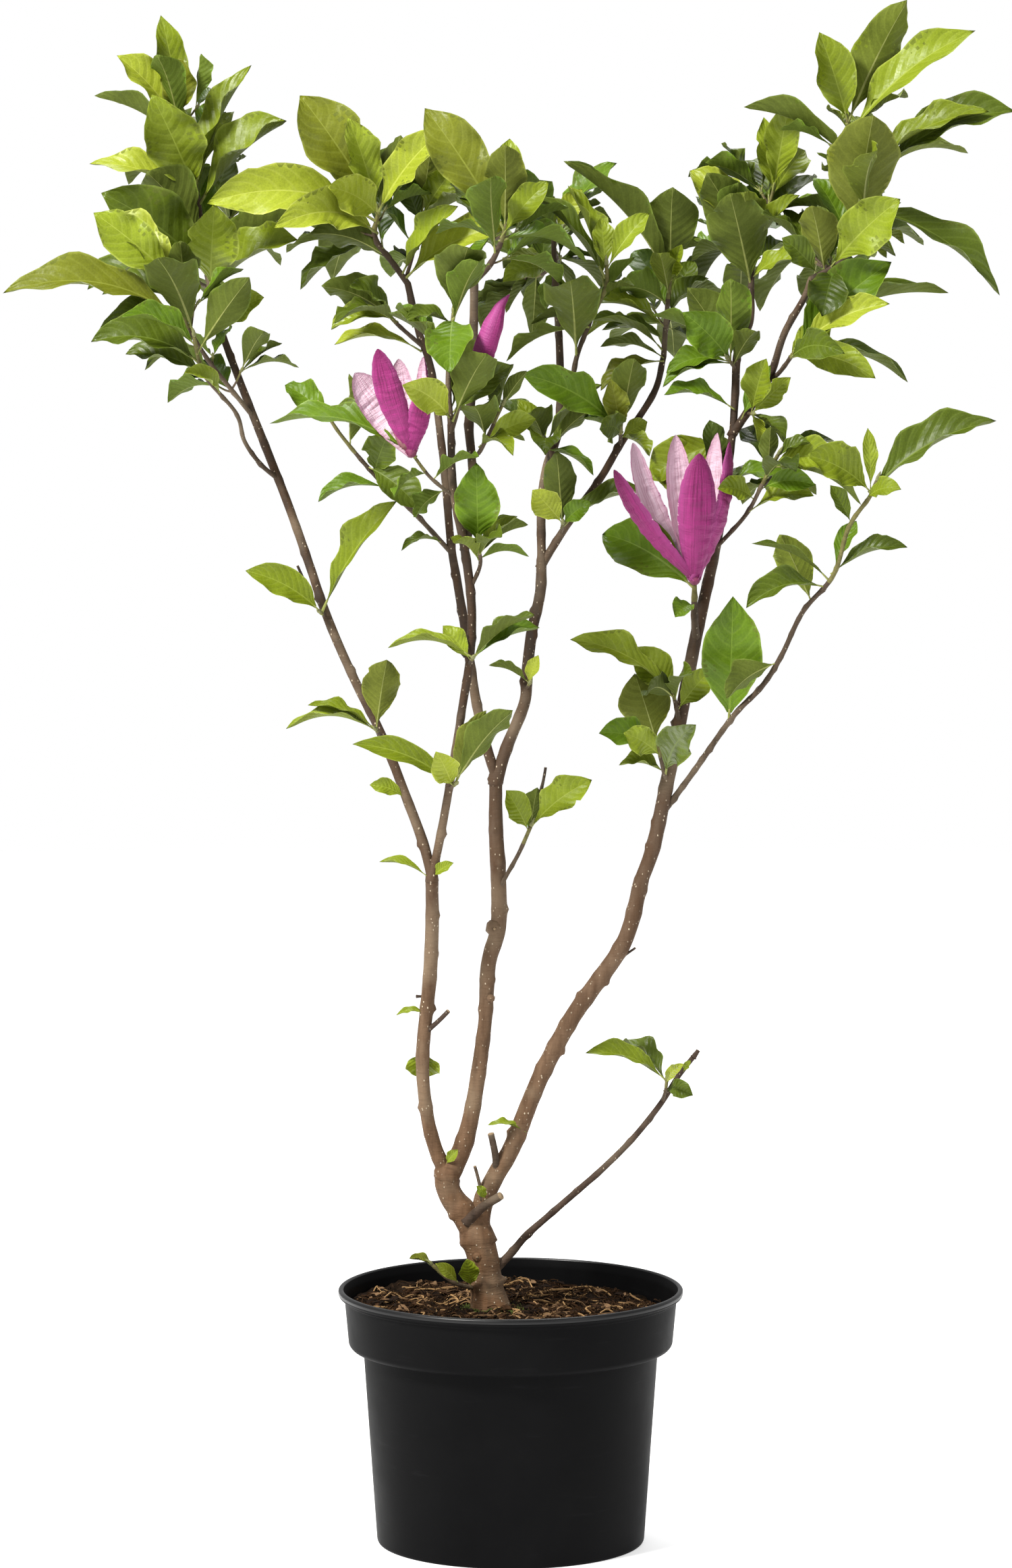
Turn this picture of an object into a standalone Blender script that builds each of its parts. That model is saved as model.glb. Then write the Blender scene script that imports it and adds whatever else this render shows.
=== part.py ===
"""A lily-flowered magnolia shrub in a round nursery pot.

Metres, +Z up. The origin is the centre of the pot's flat underside. X runs to the
right and Y away from the side the plant is usually seen from.

The trunk, each bough and each mass of foliage is one solid. A mass grows from one
stem: shoots leave the stem, each shoot or stem carries the leaves that are set out
for it by hand (they give the crown its outline), and a seeded rule adds the rest.
Every leaf is tried against all wood and all leaves that are already there. It is
moved a little where it would touch them, and left out where that does not help.

Lengths in the tables below are centimetres, the unit in which the plant was set out.
"""
import math
import random
from collections import namedtuple

import bmesh
import bpy
from mathutils import Matrix, Quaternion, Vector
from mathutils.bvhtree import BVHTree

CM = 0.01
GAP = 0.0003                    # clearance between touching solids

# Pot: a 10-litre round nursery pot
POT_RIM_RADIUS = 0.140
POT_HEIGHT = 0.208
POT_BASE_RADIUS = 0.1088
POT_WALL = 0.0018
POT_FLOOR = 0.0045
COLLAR_BOTTOM = 0.160
POT_SIDES = 44
SOIL_SIDES = 32

# Soil surface and the trunk's foot
SOIL_LEVEL = 0.1930
FOOT = (-1.6, -1.5)
FOOT_CLEAR_RADIUS = 0.024

# Wood
RING_SPACING = 0.036
BOUGH_SIDES = 7
STEM_SIDES = 4
TWIG_SIDES = 3

# Leaves
LEAF_WIDTH_RATIO = 0.42
LONG_LEAF = 0.115               # longer leaves are narrower for their length
LONG_LEAF_RATIO = 0.30
LEAF_THICKNESS_RATIO = 0.011
LEAF_MIN_THICKNESS = 0.0009
LEAF_BULGE = 0.05
LEAF_SAG = 0.12                 # a level leaf arches up and hangs at its tip
LEAF_LIFT = 0.12
PETIOLE_HALF = 0.0010
LEAF_SPACING = 0.0035           # along a twig
GOLDEN_ANGLE = math.radians(137.5)
NUDGES = (0.0, -0.012, 0.012, -0.024, 0.024, -0.036, 0.036)
CLEARANCE = 0.0006
MERGE = 0.000002
HAIR = 0.0002

FRONT = Vector((0.0, -1.0, 0.0))
UP = Vector((0.0, 0.0, 1.0))

Limb = namedtuple("Limb", "points radii hosts sides stubs")
Stub = namedtuple("Stub", "start end radius")
Lead = namedtuple("Lead", "station reach turn width", defaults=(None,))
Shoot = namedtuple("Shoot", "station reach leads fill")
Mass = namedtuple("Mass", "hosts stem radii leads fill size shoots seed")
Petal = namedtuple("Petal", "reach width cup turn")


# Trunk and boughs. The first host is the limb that carries this one.
LIMBS = {
    "trunk": Limb(
        ((-1.6, -1.5, 19.33), (-2.0, -1.5, 21.5), (-2.2, -1.5, 23.3), (-2.8, -1.2, 25.5)),
        (1.65, 1.34, 1.26, 1.28, 1.36), (), BOUGH_SIDES + 2, ()),
    "fork_left": Limb(
        ((-2.8, -1.2, 25.5), (-3.7, -1.2, 27.0), (-4.9, -1.1, 28.7), (-5.3, -1.0, 30.4)),
        (1.25, 1.0, 0.92), ("trunk",), BOUGH_SIDES,
        (Stub((-3.6, -2.0, 26.5), (-0.8, -3.9, 29.0), 0.38),)),
    "bough_left_lower": Limb(
        ((-5.3, -1.0, 30.4), (-6.2, -1.3, 32.8), (-6.8, -1.7, 35.6), (-7.1, -2.0, 40.0),
         (-6.5, -2.5, 46.5), (-6.3, -3.5, 51.0), (-6.3, -5.0, 55.0)),
        (0.60, 0.52, 0.55, 0.56, 0.50), ("fork_left",), BOUGH_SIDES,
        (Stub((-6.9, -2.2, 42.0), (-5.0, -3.2, 43.9), 0.20),)),
    "bough_left_upper": Limb(
        ((-6.3, -5.0, 55.0), (-7.0, -4.9, 57.7), (-8.3, -4.6, 61.2), (-10.2, -4.0, 66.0),
         (-12.5, -3.0, 70.6), (-14.6, -2.0, 75.3), (-16.3, 0.0, 80.0), (-18.0, 1.5, 84.6),
         (-19.8, 3.0, 89.0), (-21.5, 4.0, 93.2), (-23.2, 5.0, 97.6), (-24.0, 5.5, 100.0)),
        (0.42, 0.36, 0.36, 0.34, 0.27), ("bough_left_lower",), BOUGH_SIDES - 1, ()),
    "bough_left_inner": Limb(
        ((-6.3, -5.0, 55.0), (-5.6, -5.8, 58.3), (-4.6, -7.0, 64.0), (-3.8, -8.0, 69.0),
         (-3.2, -9.0, 73.0), (-3.1, -9.5, 77.0), (-3.6, -10.0, 81.3), (-4.5, -11.0, 86.2),
         (-4.7, -11.5, 91.3)),
        (0.34, 0.32, 0.36, 0.28), ("bough_left_lower", "bough_left_upper"), BOUGH_SIDES - 1, ()),
    "bough_centre": Limb(
        ((-3.6, -10.0, 81.7), (-2.9, -9.0, 85.0), (-3.1, -8.0, 88.7), (-3.3, -7.5, 91.2),
         (-3.0, -7.0, 94.7), (-2.9, -6.0, 100.8), (-2.9, -5.5, 102.3)),
        (0.30, 0.36, 0.32), ("bough_left_inner",), BOUGH_SIDES - 1, ()),
    "bough_middle": Limb(
        ((-5.2, -1.0, 30.0), (-3.9, -0.8, 32.4), (-3.0, -0.4, 36.0), (-2.1, 0.0, 42.3),
         (-1.8, 0.0, 47.2), (-1.0, 0.2, 50.3), (-1.0, 0.5, 54.4), (-1.2, 0.8, 58.4),
         (-1.2, 1.0, 62.4)),
        (0.80, 0.64, 0.56, 0.64, 0.62, 0.50), ("fork_left", "bough_left_lower"), BOUGH_SIDES, ()),
    "bough_middle_left": Limb(
        ((-1.2, 1.0, 62.4), (-2.0, 1.0, 65.0), (-2.8, 1.5, 68.5), (-3.6, 2.0, 73.7),
         (-4.3, 2.0, 78.0), (-4.8, 2.0, 81.0), (-5.2, 2.5, 85.4), (-5.6, 3.0, 89.3),
         (-6.4, 4.0, 95.0), (-7.4, 4.5, 98.0), (-8.3, 5.0, 101.9)),
        (0.42, 0.38, 0.32, 0.30, 0.27), ("bough_middle",), BOUGH_SIDES - 1, ()),
    "bough_middle_right": Limb(
        ((-1.2, 1.0, 62.0), (-0.3, 1.0, 64.8), (1.1, 2.0, 68.2), (1.3, 2.5, 70.4),
         (1.7, 3.5, 73.8), (2.4, 4.6, 77.0), (2.5, 5.2, 79.6)),
        (0.46, 0.46, 0.42), ("bough_middle", "bough_middle_left"), BOUGH_SIDES, ()),
    "bough_back": Limb(
        ((2.5, 5.2, 79.6), (2.5, 6.0, 84.0), (2.9, 6.6, 87.0), (3.9, 7.5, 90.2),
         (4.0, 8.0, 95.8), (3.6, 9.0, 102.6)),
        (0.36, 0.34, 0.26), ("bough_middle_right",), BOUGH_SIDES - 1, ()),
    "bough_centre_right": Limb(
        ((2.5, 5.2, 79.2), (4.9, 5.6, 82.9), (7.3, 6.0, 86.2), (8.9, 6.3, 88.9),
         (11.6, 7.0, 93.0), (12.4, 7.0, 96.0)),
        (0.30, 0.30, 0.24), ("bough_middle_right", "bough_back"), BOUGH_SIDES - 1, ()),
    "bough_right_lower": Limb(
        ((-2.8, -1.2, 25.0), (-2.2, -1.0, 28.0), (-1.2, -1.0, 30.2), (0.1, -1.2, 32.5),
         (1.6, -1.6, 36.4), (2.9, -2.0, 39.4), (5.2, -2.7, 43.7), (8.3, -3.0, 48.1),
         (9.5, -3.0, 50.5), (10.5, -2.3, 54.4)),
        (0.80, 0.72, 0.68, 0.66, 0.60), ("trunk", "fork_left"), BOUGH_SIDES,
        (Stub((-1.1, -1.1, 30.4), (-1.6, -2.3, 33.8), 0.30),)),
    "bough_right_upper": Limb(
        ((10.5, -2.3, 54.4), (11.5, -1.8, 57.2), (12.7, -1.0, 62.8), (13.7, 0.0, 67.4),
         (14.5, 0.0, 71.8), (15.2, 0.4, 75.2), (16.3, 1.4, 80.0), (17.1, 2.0, 84.4),
         (17.9, 2.8, 90.3)),
        (0.58, 0.56, 0.52, 0.42, 0.30), ("bough_right_lower",), BOUGH_SIDES, ()),
    "bough_right_inner": Limb(
        ((17.9, 2.8, 90.3), (18.1, 3.5, 93.3), (18.3, 4.3, 96.4), (19.3, 5.0, 98.9),
         (19.4, 5.6, 101.4)),
        (0.30, 0.33, 0.28), ("bough_right_upper",), BOUGH_SIDES - 1, ()),
    "bough_right_outer": Limb(
        ((17.9, 2.8, 90.0), (19.4, 2.5, 92.2), (20.8, 1.8, 94.5), (21.9, 1.0, 98.0),
         (23.4, 0.2, 100.8), (24.0, 0.0, 102.4)),
        (0.30, 0.29, 0.26), ("bough_right_upper", "bough_right_inner"), BOUGH_SIDES - 1, ()),
    "branch_low": Limb(
        ((-1.8, -1.5, 22.0), (-0.1, -1.2, 23.7), (1.2, -1.0, 25.2), (2.8, -0.8, 26.6),
         (5.5, -0.4, 28.9), (7.5, 0.0, 30.6), (9.9, 0.2, 33.0), (12.1, 0.6, 35.7),
         (13.6, 1.0, 38.0), (15.0, 1.0, 39.8)),
        (0.34, 0.27, 0.26, 0.24, 0.20), ("trunk",), BOUGH_SIDES - 1, ()),
}


# Foliage. Stems are points; a lead leaf is its station along the stem or shoot, its
# reach from root to tip, and its turn: 0 shows the upper side to the front, 90 has the
# upper side up, 180 shows the underside to the front.
MASSES = {
    "foliage_left_top": Mass(
        ("bough_left_upper",), ((-24.0, 5.5, 100.0), (-24.6, 6.4, 103.3), (-25.4, 7.3, 109.0),
                                (-27.0, 8.0, 115.5)), (0.26, 0.18),
        (Lead(1.0, (-1.2, -1.0, 8.4), 25, 0.30), Lead(0.98, (0.3, -2.0, 5.0), 10, 0.55),
         Lead(0.92, (-5.0, 0.0, 6.0), 40), Lead(0.82, (-7.5, 1.0, 4.2), 110, 0.30),
         Lead(0.60, (-3.2, -4.0, 7.6), 5, 0.52), Lead(0.62, (4.5, 1.0, 9.9), 60, 0.26),
         Lead(0.52, (7.1, -1.0, 7.0), 60), Lead(0.60, (2.7, 3.0, 6.7), 50),
         Lead(0.52, (-8.9, 1.0, 3.4), 60, 0.30), Lead(0.34, (-4.4, -3.0, 5.6), 160, 0.56),
         Lead(0.12, (7.7, -1.0, 6.3), 140),
         Lead(0.08, (7.1, -3.0, 4.3), 60), Lead(0.26, (4.0, 3.0, 1.0), 90),
         Lead(0.16, (-8.0, -5.0, 6.8), 20, 0.46), Lead(0.10, (0.6, -5.5, 6.6), 0, 0.50)),
        4, 8.0,
        (Shoot(0.30, (0.5, 7.5, 3.5), (), 5), Shoot(0.10, (-2.5, 7.0, 2.0), (), 5),
         Shoot(0.62, (-2.0, 5.5, 2.0), (), 4)), 11),
    "foliage_left_front": Mass(
        ("bough_left_upper",), ((-20.7, 3.6, 91.2), (-22.8, 1.5, 94.0), (-24.2, 0.5, 95.9),
                                (-25.9, -1.0, 98.9), (-26.0, -1.3, 100.7), (-26.1, -1.6, 102.0)),
        (0.20, 0.17, 0.15),
        (Lead(0.74, (-14.4, -3.0, 3.2), 50, 0.30), Lead(0.66, (-2.4, -5.0, 6.4), 170, 0.50),
         Lead(0.86, (-6.8, 0.5, 1.0), 50, 0.42), Lead(0.97, (-7.0, -1.5, 6.1), 0, 0.40),
         Lead(0.94, (-6.5, 1.5, 6.5), 40), Lead(0.70, (-7.3, -1.5, 0.4), 60)),
        2, 7.0, (), 12),
    "foliage_left_low": Mass(
        ("bough_left_upper",), ((-18.7, 2.1, 86.3), (-20.1, 1.0, 87.6), (-21.3, -0.6, 89.5),
                                (-21.9, -2.0, 91.8), (-24.2, -4.0, 94.7), (-24.8, -5.0, 96.5),
                                (-25.0, -6.0, 98.0)), (0.19, 0.16, 0.15),
        (Lead(0.84, (-8.5, -1.0, 1.8), 45, 0.40), Lead(0.94, (-5.6, -3.0, 2.6), 60, 0.36),
         Lead(0.90, (4.2, -1.5, 6.0), 170),
         Lead(0.72, (-6.8, 1.0, 2.0), 50, 0.38), Lead(0.62, (-2.4, -2.0, 2.0), 50)),
        1, 7.0, (), 13),
    "foliage_centre_left": Mass(
        ("bough_middle_left",), ((-8.3, 5.0, 101.9), (-9.3, 5.0, 103.3), (-10.9, 4.5, 105.6),
                                 (-10.6, 4.0, 107.8)), (0.26, 0.17),
        (Lead(0.85, (-13.3, -4.0, 1.8), 20), Lead(1.0, (-6.2, -1.0, 9.4), 10, 0.46),
         Lead(0.97, (-2.4, -3.0, 7.6), 20, 0.36), Lead(0.99, (5.4, -5.0, 6.9), 30, 0.30),
         Lead(0.93, (-4.0, -5.0, 2.4), 10, 0.50), Lead(0.72, (-7.8, -8.0, 0.6), 25, 0.30),
         Lead(0.12, (4.6, -3.0, 5.6), 60, 0.34), Lead(0.06, (8.5, -6.0, 4.3), 40, 0.36),
         Lead(0.18, (-6.2, -3.0, 4.8), 120, 0.34), Lead(0.35, (-6.4, -1.0, 2.2), 150),
         Lead(0.30, (-8.1, 1.0, 1.5), 110, 0.34)),
        3, 8.5,
        (Shoot(0.05, (1.3, 2.0, 5.2),
               (Lead(1.0, (0.8, -1.0, 5.4), 170), Lead(0.95, (3.1, -3.0, 4.5), 10),
                Lead(0.9, (-1.6, 1.0, 4.2), 0)), 3),
         Shoot(0.45, (-3.5, 7.0, 2.5), (), 5)), 14),
    "foliage_left_mid": Mass(
        ("bough_middle_left",), ((-7.0, 4.3, 96.8), (-9.0, 3.0, 98.6), (-9.8, 2.5, 99.5)),
        (0.18, 0.15),
        (Lead(0.8, (-5.9, -2.0, 3.0), 150, 0.46), Lead(0.85, (-5.0, -1.0, -0.6), 40, 0.40),
         Lead(0.98, (-3.0, -4.0, 2.5), 60)),
        1, 7.0, (), 15),
    "foliage_centre_front": Mass(
        ("bough_left_inner",), ((-4.7, -11.5, 91.3), (-4.9, -11.4, 95.0), (-4.5, -11.0, 100.0)),
        (0.26, 0.15),
        (Lead(0.05, (-3.7, -2.5, 2.9), 10, 0.52), Lead(0.12, (2.8, -3.5, 5.6), 165, 0.55),
         Lead(0.08, (4.8, 0.5, 4.0), 20), Lead(1.0, (1.2, -6.0, 5.4), 170, 0.52),
         Lead(0.95, (-0.2, -5.5, -3.9), 10, 0.56), Lead(0.9, (-3.6, -1.0, 0.4), 60)),
        2, 7.0, (), 16),
    "foliage_centre": Mass(
        ("bough_centre",), ((-2.9, -5.5, 102.3), (-1.6, -5.0, 103.7), (-0.7, -4.5, 105.6),
                            (-0.4, -4.3, 106.8)), (0.27, 0.17),
        (Lead(0.98, (0.0, -3.0, 6.4), 175, 0.48), Lead(0.92, (-6.2, -1.0, 9.6), 10, 0.38),
         Lead(0.95, (0.4, 2.0, 7.0), 0, 0.36), Lead(0.80, (3.6, 1.0, 4.4), 20)),
        3, 7.5,
        (Shoot(0.8, (-1.0, 6.5, 0.5), (), 5),), 17),
    "foliage_centre_low": Mass(
        ("bough_centre",), ((-3.0, -8.0, 88.6), (-2.3, -9.3, 89.3), (-0.7, -10.0, 92.7)),
        (0.17, 0.13),
        (Lead(1.0, (2.0, -1.0, 3.0), 160, 0.34), Lead(0.35, (4.2, -1.2, 1.9), 10, 0.44),
         Lead(0.45, (-0.9, -4.5, 2.8), 165, 0.62), Lead(0.30, (3.4, 1.4, 0.4), 100),
         Lead(0.25, (2.6, -3.0, -0.4), 70)),
        1, 6.0, (), 18),
    "foliage_inner_low": Mass(
        ("bough_left_inner",), ((-3.1, -9.6, 78.5), (-2.4, -10.6, 80.3), (-2.6, -11.2, 82.0)),
        (0.17, 0.14),
        (Lead(1.0, (-0.1, -1.5, 6.5), 0, 0.54), Lead(0.60, (-2.0, -4.0, 1.8), 120),
         Lead(0.70, (1.8, -4.2, 1.9), 110), Lead(0.80, (3.1, -1.0, 2.8), 50, 0.36),
         Lead(0.75, (3.9, 1.0, 2.2), 110), Lead(0.65, (3.9, -0.5, 0.4), 100, 0.34)),
        0, 6.0, (), 19),
    "foliage_left_inner": Mass(
        ("bough_middle_left",), ((-4.8, 2.0, 80.4), (-7.5, 1.0, 83.4), (-10.5, -1.0, 86.4),
                                 (-13.4, -2.5, 89.9), (-14.9, -3.2, 92.2)),
        (0.20, 0.18, 0.13),
        (Lead(0.47, (-5.6, -1.0, -0.9), 60, 0.30), Lead(0.58, (1.4, -3.0, 3.8), 10, 0.56),
         Lead(0.63, (4.2, -2.5, -3.2), 20, 0.50), Lead(0.92, (-3.8, 0.0, 2.9), 20, 0.50),
         Lead(0.97, (3.4, -2.5, -0.6), 60), Lead(0.06, (-3.3, -2.0, -0.2), 75, 0.26)),
        1, 6.0, (), 20),
    "foliage_left_tuft": Mass(
        ("bough_left_upper",), ((-10.3, -4.0, 66.0), (-10.7, -5.7, 66.8)), (0.18, 0.14),
        (Lead(1.0, (0.8, -1.0, 5.8), 170, 0.54), Lead(0.85, (-5.5, -0.5, 2.1), 70, 0.24),
         Lead(0.7, (-7.2, -1.6, 0.8), 75, 0.24)), 0, 6.0, (), 21),
    "foliage_left_pair": Mass(
        ("bough_left_upper",), ((-14.8, -1.9, 75.6), (-15.2, -3.1, 76.0)), (0.17, 0.14),
        (Lead(1.0, (-5.9, -1.0, 3.4), 30, 0.40), Lead(0.7, (6.0, -2.3, 9.1), 50, 0.25)),
        0, 6.0, (), 22),
    "foliage_inner_tuft": Mass(
        ("bough_left_inner",), ((-3.3, -8.9, 72.3), (-3.0, -10.3, 72.9)), (0.17, 0.14),
        (Lead(1.0, (-6.6, -0.5, 1.2), 80, 0.24), Lead(0.85, (4.9, -1.2, 3.6), 100, 0.42),
         Lead(0.7, (5.4, -2.6, 2.4), 50, 0.34), Lead(0.5, (-2.2, -2.2, 2.8), 10, 0.50)),
        0, 6.0, (), 23),
    "foliage_inner_lower": Mass(
        ("bough_left_inner",), ((-4.9, -6.6, 62.2), (-4.4, -8.0, 62.7)), (0.17, 0.14),
        (Lead(1.0, (2.4, -1.0, 6.1), 165, 0.34), Lead(0.9, (4.6, -2.4, 6.3), 150, 0.36),
         Lead(0.7, (-8.0, -1.5, 3.4), 35, 0.24), Lead(0.5, (-1.2, -2.0, 3.0), 10, 0.62)),
        0, 6.0, (), 24),
    "foliage_middle_low": Mass(
        ("bough_middle",), ((-1.0, 0.4, 53.2), (-0.2, -0.7, 54.8), (0.7, -1.2, 56.5),
                            (1.6, -1.6, 58.6)), (0.18, 0.16),
        (Lead(1.0, (4.9, -1.0, 4.1), 30, 0.44), Lead(0.93, (-1.8, -1.6, 3.5), 20, 0.54),
         Lead(0.97, (0.6, -1.6, 3.4), 165, 0.52), Lead(0.85, (1.8, 2.4, 3.4), 30, 0.40)),
        0, 5.0, (), 25),
    "foliage_middle_right": Mass(
        ("bough_middle_right",), ((1.2, 2.3, 69.3), (1.5, 1.1, 69.9)), (0.15, 0.13),
        (Lead(1.0, (-3.2, -1.0, 1.7), 100, 0.30), Lead(0.7, (0.8, -0.6, 2.5), 30, 0.44)),
        0, 5.0, (), 26),
    "foliage_middle_upper": Mass(
        ("bough_centre_right",), ((4.1, 5.5, 81.7), (4.2, 4.0, 82.6)), (0.16, 0.13),
        (Lead(1.0, (-2.4, -2.0, 2.8), 0, 0.60), Lead(0.85, (2.2, -2.0, 2.0), 15, 0.50),
         Lead(0.6, (7.0, 1.2, 3.2), 60, 0.30)),
        1, 6.0, (), 27),
    "foliage_back_low": Mass(
        ("bough_back",), ((2.9, 6.6, 87.0), (3.0, 5.1, 87.9), (2.8, 4.0, 89.2)), (0.17, 0.14),
        (Lead(1.0, (-1.3, -3.0, 2.7), 165, 0.70), Lead(0.85, (-2.2, -2.0, 3.8), 20, 0.46),
         Lead(0.7, (3.9, -2.0, -1.8), 70, 0.30), Lead(0.55, (3.6, -1.0, 3.8), 150, 0.36),
         Lead(0.9, (4.4, 1.0, 5.0), 80, 0.34), Lead(0.8, (-4.6, 1.0, 4.0), 60, 0.40)),
        1, 6.5, (Shoot(0.10, (1.5, 6.0, 3.5), (), 4),), 28),
    "foliage_centre_right_low": Mass(
        ("bough_centre_right",), ((8.9, 6.3, 88.9), (8.9, 4.9, 90.0)), (0.19, 0.15),
        (Lead(1.0, (-8.1, -5.0, 4.9), 20, 0.40), Lead(0.55, (-3.0, -1.0, 1.7), 100),
         Lead(0.9, (-0.9, -1.6, 4.5), 10, 0.44), Lead(0.7, (0.6, -1.0, 3.0), 60, 0.50),
         Lead(0.8, (-1.8, -3.2, 0.6), 0, 0.72), Lead(0.4, (2.2, 1.6, 1.4), 0, 0.60),
         Lead(0.6, (2.3, -2.6, -1.3), 60)),
        1, 6.5, (Shoot(0.2, (2.0, 7.0, 2.0), (), 4),), 29),
    "foliage_centre_right": Mass(
        ("bough_centre_right",), ((12.4, 7.0, 96.0), (12.6, 7.0, 99.0), (12.9, 6.5, 102.4)),
        (0.24, 0.16),
        (Lead(1.0, (0.1, -2.0, 7.6), 175, 0.58), Lead(0.95, (0.9, -2.6, 3.0), 20),
         Lead(0.97, (-8.6, -1.0, 9.6), 110, 0.26), Lead(0.65, (-3.9, -3.0, 1.4), 150, 0.60),
         Lead(0.35, (-6.0, -3.6, 2.2), 70, 0.34), Lead(0.05, (-6.0, -3.0, 2.8), 90, 0.22),
         Lead(0.20, (-5.1, -1.0, 0.8), 60, 0.36), Lead(0.50, (3.5, 2.0, 3.0), 60)),
        1, 7.0, (Shoot(0.3, (0.5, 7.0, 1.5), (), 5),), 30),
    "foliage_centre_mid": Mass(
        ("bough_back",), ((3.3, 7.1, 88.6), (4.7, 6.0, 91.4), (5.2, 5.0, 95.5),
                          (6.2, 4.5, 98.4), (7.0, 4.0, 100.2), (7.7, 3.5, 101.8),
                          (7.7, 3.4, 103.4)), (0.24, 0.20, 0.16),
        (Lead(0.50, (-0.6, -4.5, 6.2), 175, 0.62), Lead(1.0, (-0.4, 0.5, 4.3), 10, 0.44),
         Lead(0.98, (3.4, 1.0, 4.7), 30, 0.36), Lead(0.84, (2.6, -1.0, 1.0), 90),
         Lead(0.94, (-6.0, 0.0, 6.8), 70, 0.26), Lead(0.90, (-2.7, 2.4, 8.0), 60, 0.26),
         Lead(0.66, (-4.6, -2.6, 0.6), 100, 0.34), Lead(0.60, (3.6, -3.0, 1.6), 100, 0.36)),
        1, 6.5, (), 31),
    "foliage_back": Mass(
        ("bough_back",), ((3.6, 9.0, 102.6), (3.5, 9.5, 104.6), (3.6, 10.0, 106.2)),
        (0.24, 0.16),
        (Lead(0.05, (-4.1, -3.0, -0.6), 30, 0.46), Lead(0.15, (-3.9, 0.0, 0.8), 90, 0.36),
         Lead(1.0, (2.2, -1.0, 3.4), 0, 0.46), Lead(0.95, (-1.8, -1.0, 3.8), 20, 0.44)),
        3, 7.5,
        (Shoot(0.2, (-2.5, 6.5, -1.0), (), 5), Shoot(0.5, (0.5, 6.5, -0.5), (), 5)), 32),
    "foliage_right_inner": Mass(
        ("bough_right_inner",), ((19.4, 5.6, 101.4), (19.5, 5.8, 103.4), (19.8, 6.0, 106.0)),
        (0.27, 0.17),
        (Lead(0.05, (-1.9, -4.5, 7.6), 175, 0.56), Lead(0.55, (-3.8, -1.6, 7.0), 170, 0.50),
         Lead(0.85, (-5.2, 0.5, 5.6), 20, 0.44), Lead(0.70, (3.6, -2.0, 4.4), 60, 0.30),
         Lead(0.20, (4.0, -3.0, 1.6), 50, 0.36)),
        2, 8.5,
        (Shoot(0.7, (1.6, 1.0, 4.8),
               (Lead(1.0, (-0.8, -0.8, 6.0), 5, 0.34), Lead(0.97, (1.2, -1.4, 7.2), 5, 0.38),
                Lead(0.8, (3.1, 2.0, 4.2), 10, 0.42)), 1),
         Shoot(0.3, (-1.0, 7.0, 2.5), (), 5)), 33),
    "foliage_right_inner_low": Mass(
        ("bough_right_inner",), ((18.2, 4.0, 95.0), (17.5, 2.7, 95.9)), (0.16, 0.13),
        (Lead(1.0, (-6.2, -1.2, 3.6), 110, 0.42), Lead(0.85, (-3.7, -3.0, 3.9), 10, 0.58),
         Lead(0.7, (-5.2, -1.0, -0.6), 40, 0.36), Lead(0.55, (-3.4, 1.0, 6.2), 150, 0.46),
         Lead(0.4, (1.6, -3.4, 3.0), 170, 0.44),
         Lead(0.6, (-5.6, -2.4, -1.6), 50, 0.36)),
        1, 7.0, (), 34),
    "foliage_right_top": Mass(
        ("bough_right_outer",), ((24.0, 0.0, 102.4), (26.4, 0.0, 103.8), (27.4, 0.5, 105.8),
                                 (28.6, 1.0, 109.0), (30.0, 1.5, 112.2)), (0.26, 0.17),
        (Lead(0.88, (10.7, -2.0, 4.9), 45, 0.32),
         Lead(0.62, (10.8, -3.0, -6.6), 50, 0.24), Lead(0.14, (5.2, -4.5, 5.5), 5, 0.46),
         Lead(0.44, (1.2, -4.0, 9.4), 175, 0.56), Lead(0.10, (-1.2, -3.0, 5.3), 165, 0.50),
         Lead(0.05, (-2.9, -2.0, 3.0), 20, 0.50), Lead(0.18, (-1.2, -3.0, -3.9), 10, 0.66),
         Lead(0.32, (4.0, 1.0, -0.5), 70, 0.38)),
        2, 7.5,
        (Shoot(0.60, (-1.3, 0.5, 7.4),
               (Lead(0.98, (-2.3, -1.0, 7.0), 10, 0.46), Lead(0.94, (4.6, -1.0, 9.8), 165, 0.36),
                Lead(0.82, (9.8, -1.0, 7.4), 45, 0.30), Lead(0.32, (9.6, 1.0, 7.0), 60, 0.26),
                Lead(0.50, (-8.8, 2.0, 4.5), 100, 0.28)), 0),
         Shoot(0.35, (0.5, 7.0, 1.5), (), 5), Shoot(0.15, (-2.0, 6.5, 1.5), (), 4)), 35),
    "foliage_right": Mass(
        ("bough_right_outer",), ((20.6, 2.0, 94.1), (21.6, 1.0, 95.0), (22.9, -1.0, 97.0)),
        (0.20, 0.15),
        (Lead(1.0, (7.6, -2.4, 6.8), 20, 0.42), Lead(0.55, (3.6, -1.2, 2.9), 20, 0.56),
         Lead(0.9, (7.4, -2.0, 3.8), 35, 0.30), Lead(0.95, (12.2, 0.0, 4.7), 80, 0.18),
         Lead(0.65, (4.0, -3.0, 0.8), 20, 0.50),
         Lead(0.8, (6.5, -3.0, -1.8), 10, 0.36), Lead(0.72, (9.6, 1.0, -1.9), 75, 0.20)),
        1, 7.0, (), 36),
    "foliage_right_fork": Mass(
        ("bough_right_outer",), ((19.0, 2.6, 91.6), (19.4, 1.3, 91.6)), (0.16, 0.13),
        (Lead(1.0, (3.0, -1.0, 3.9), 0, 0.50), Lead(0.8, (1.1, -2.4, 4.5), 20, 0.48),
         Lead(0.6, (0.6, -2.2, -2.0), 60, 0.60), Lead(0.4, (2.8, -2.4, -2.2), 60, 0.40)),
        0, 6.0, (), 37),
    "foliage_right_mid": Mass(
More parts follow.
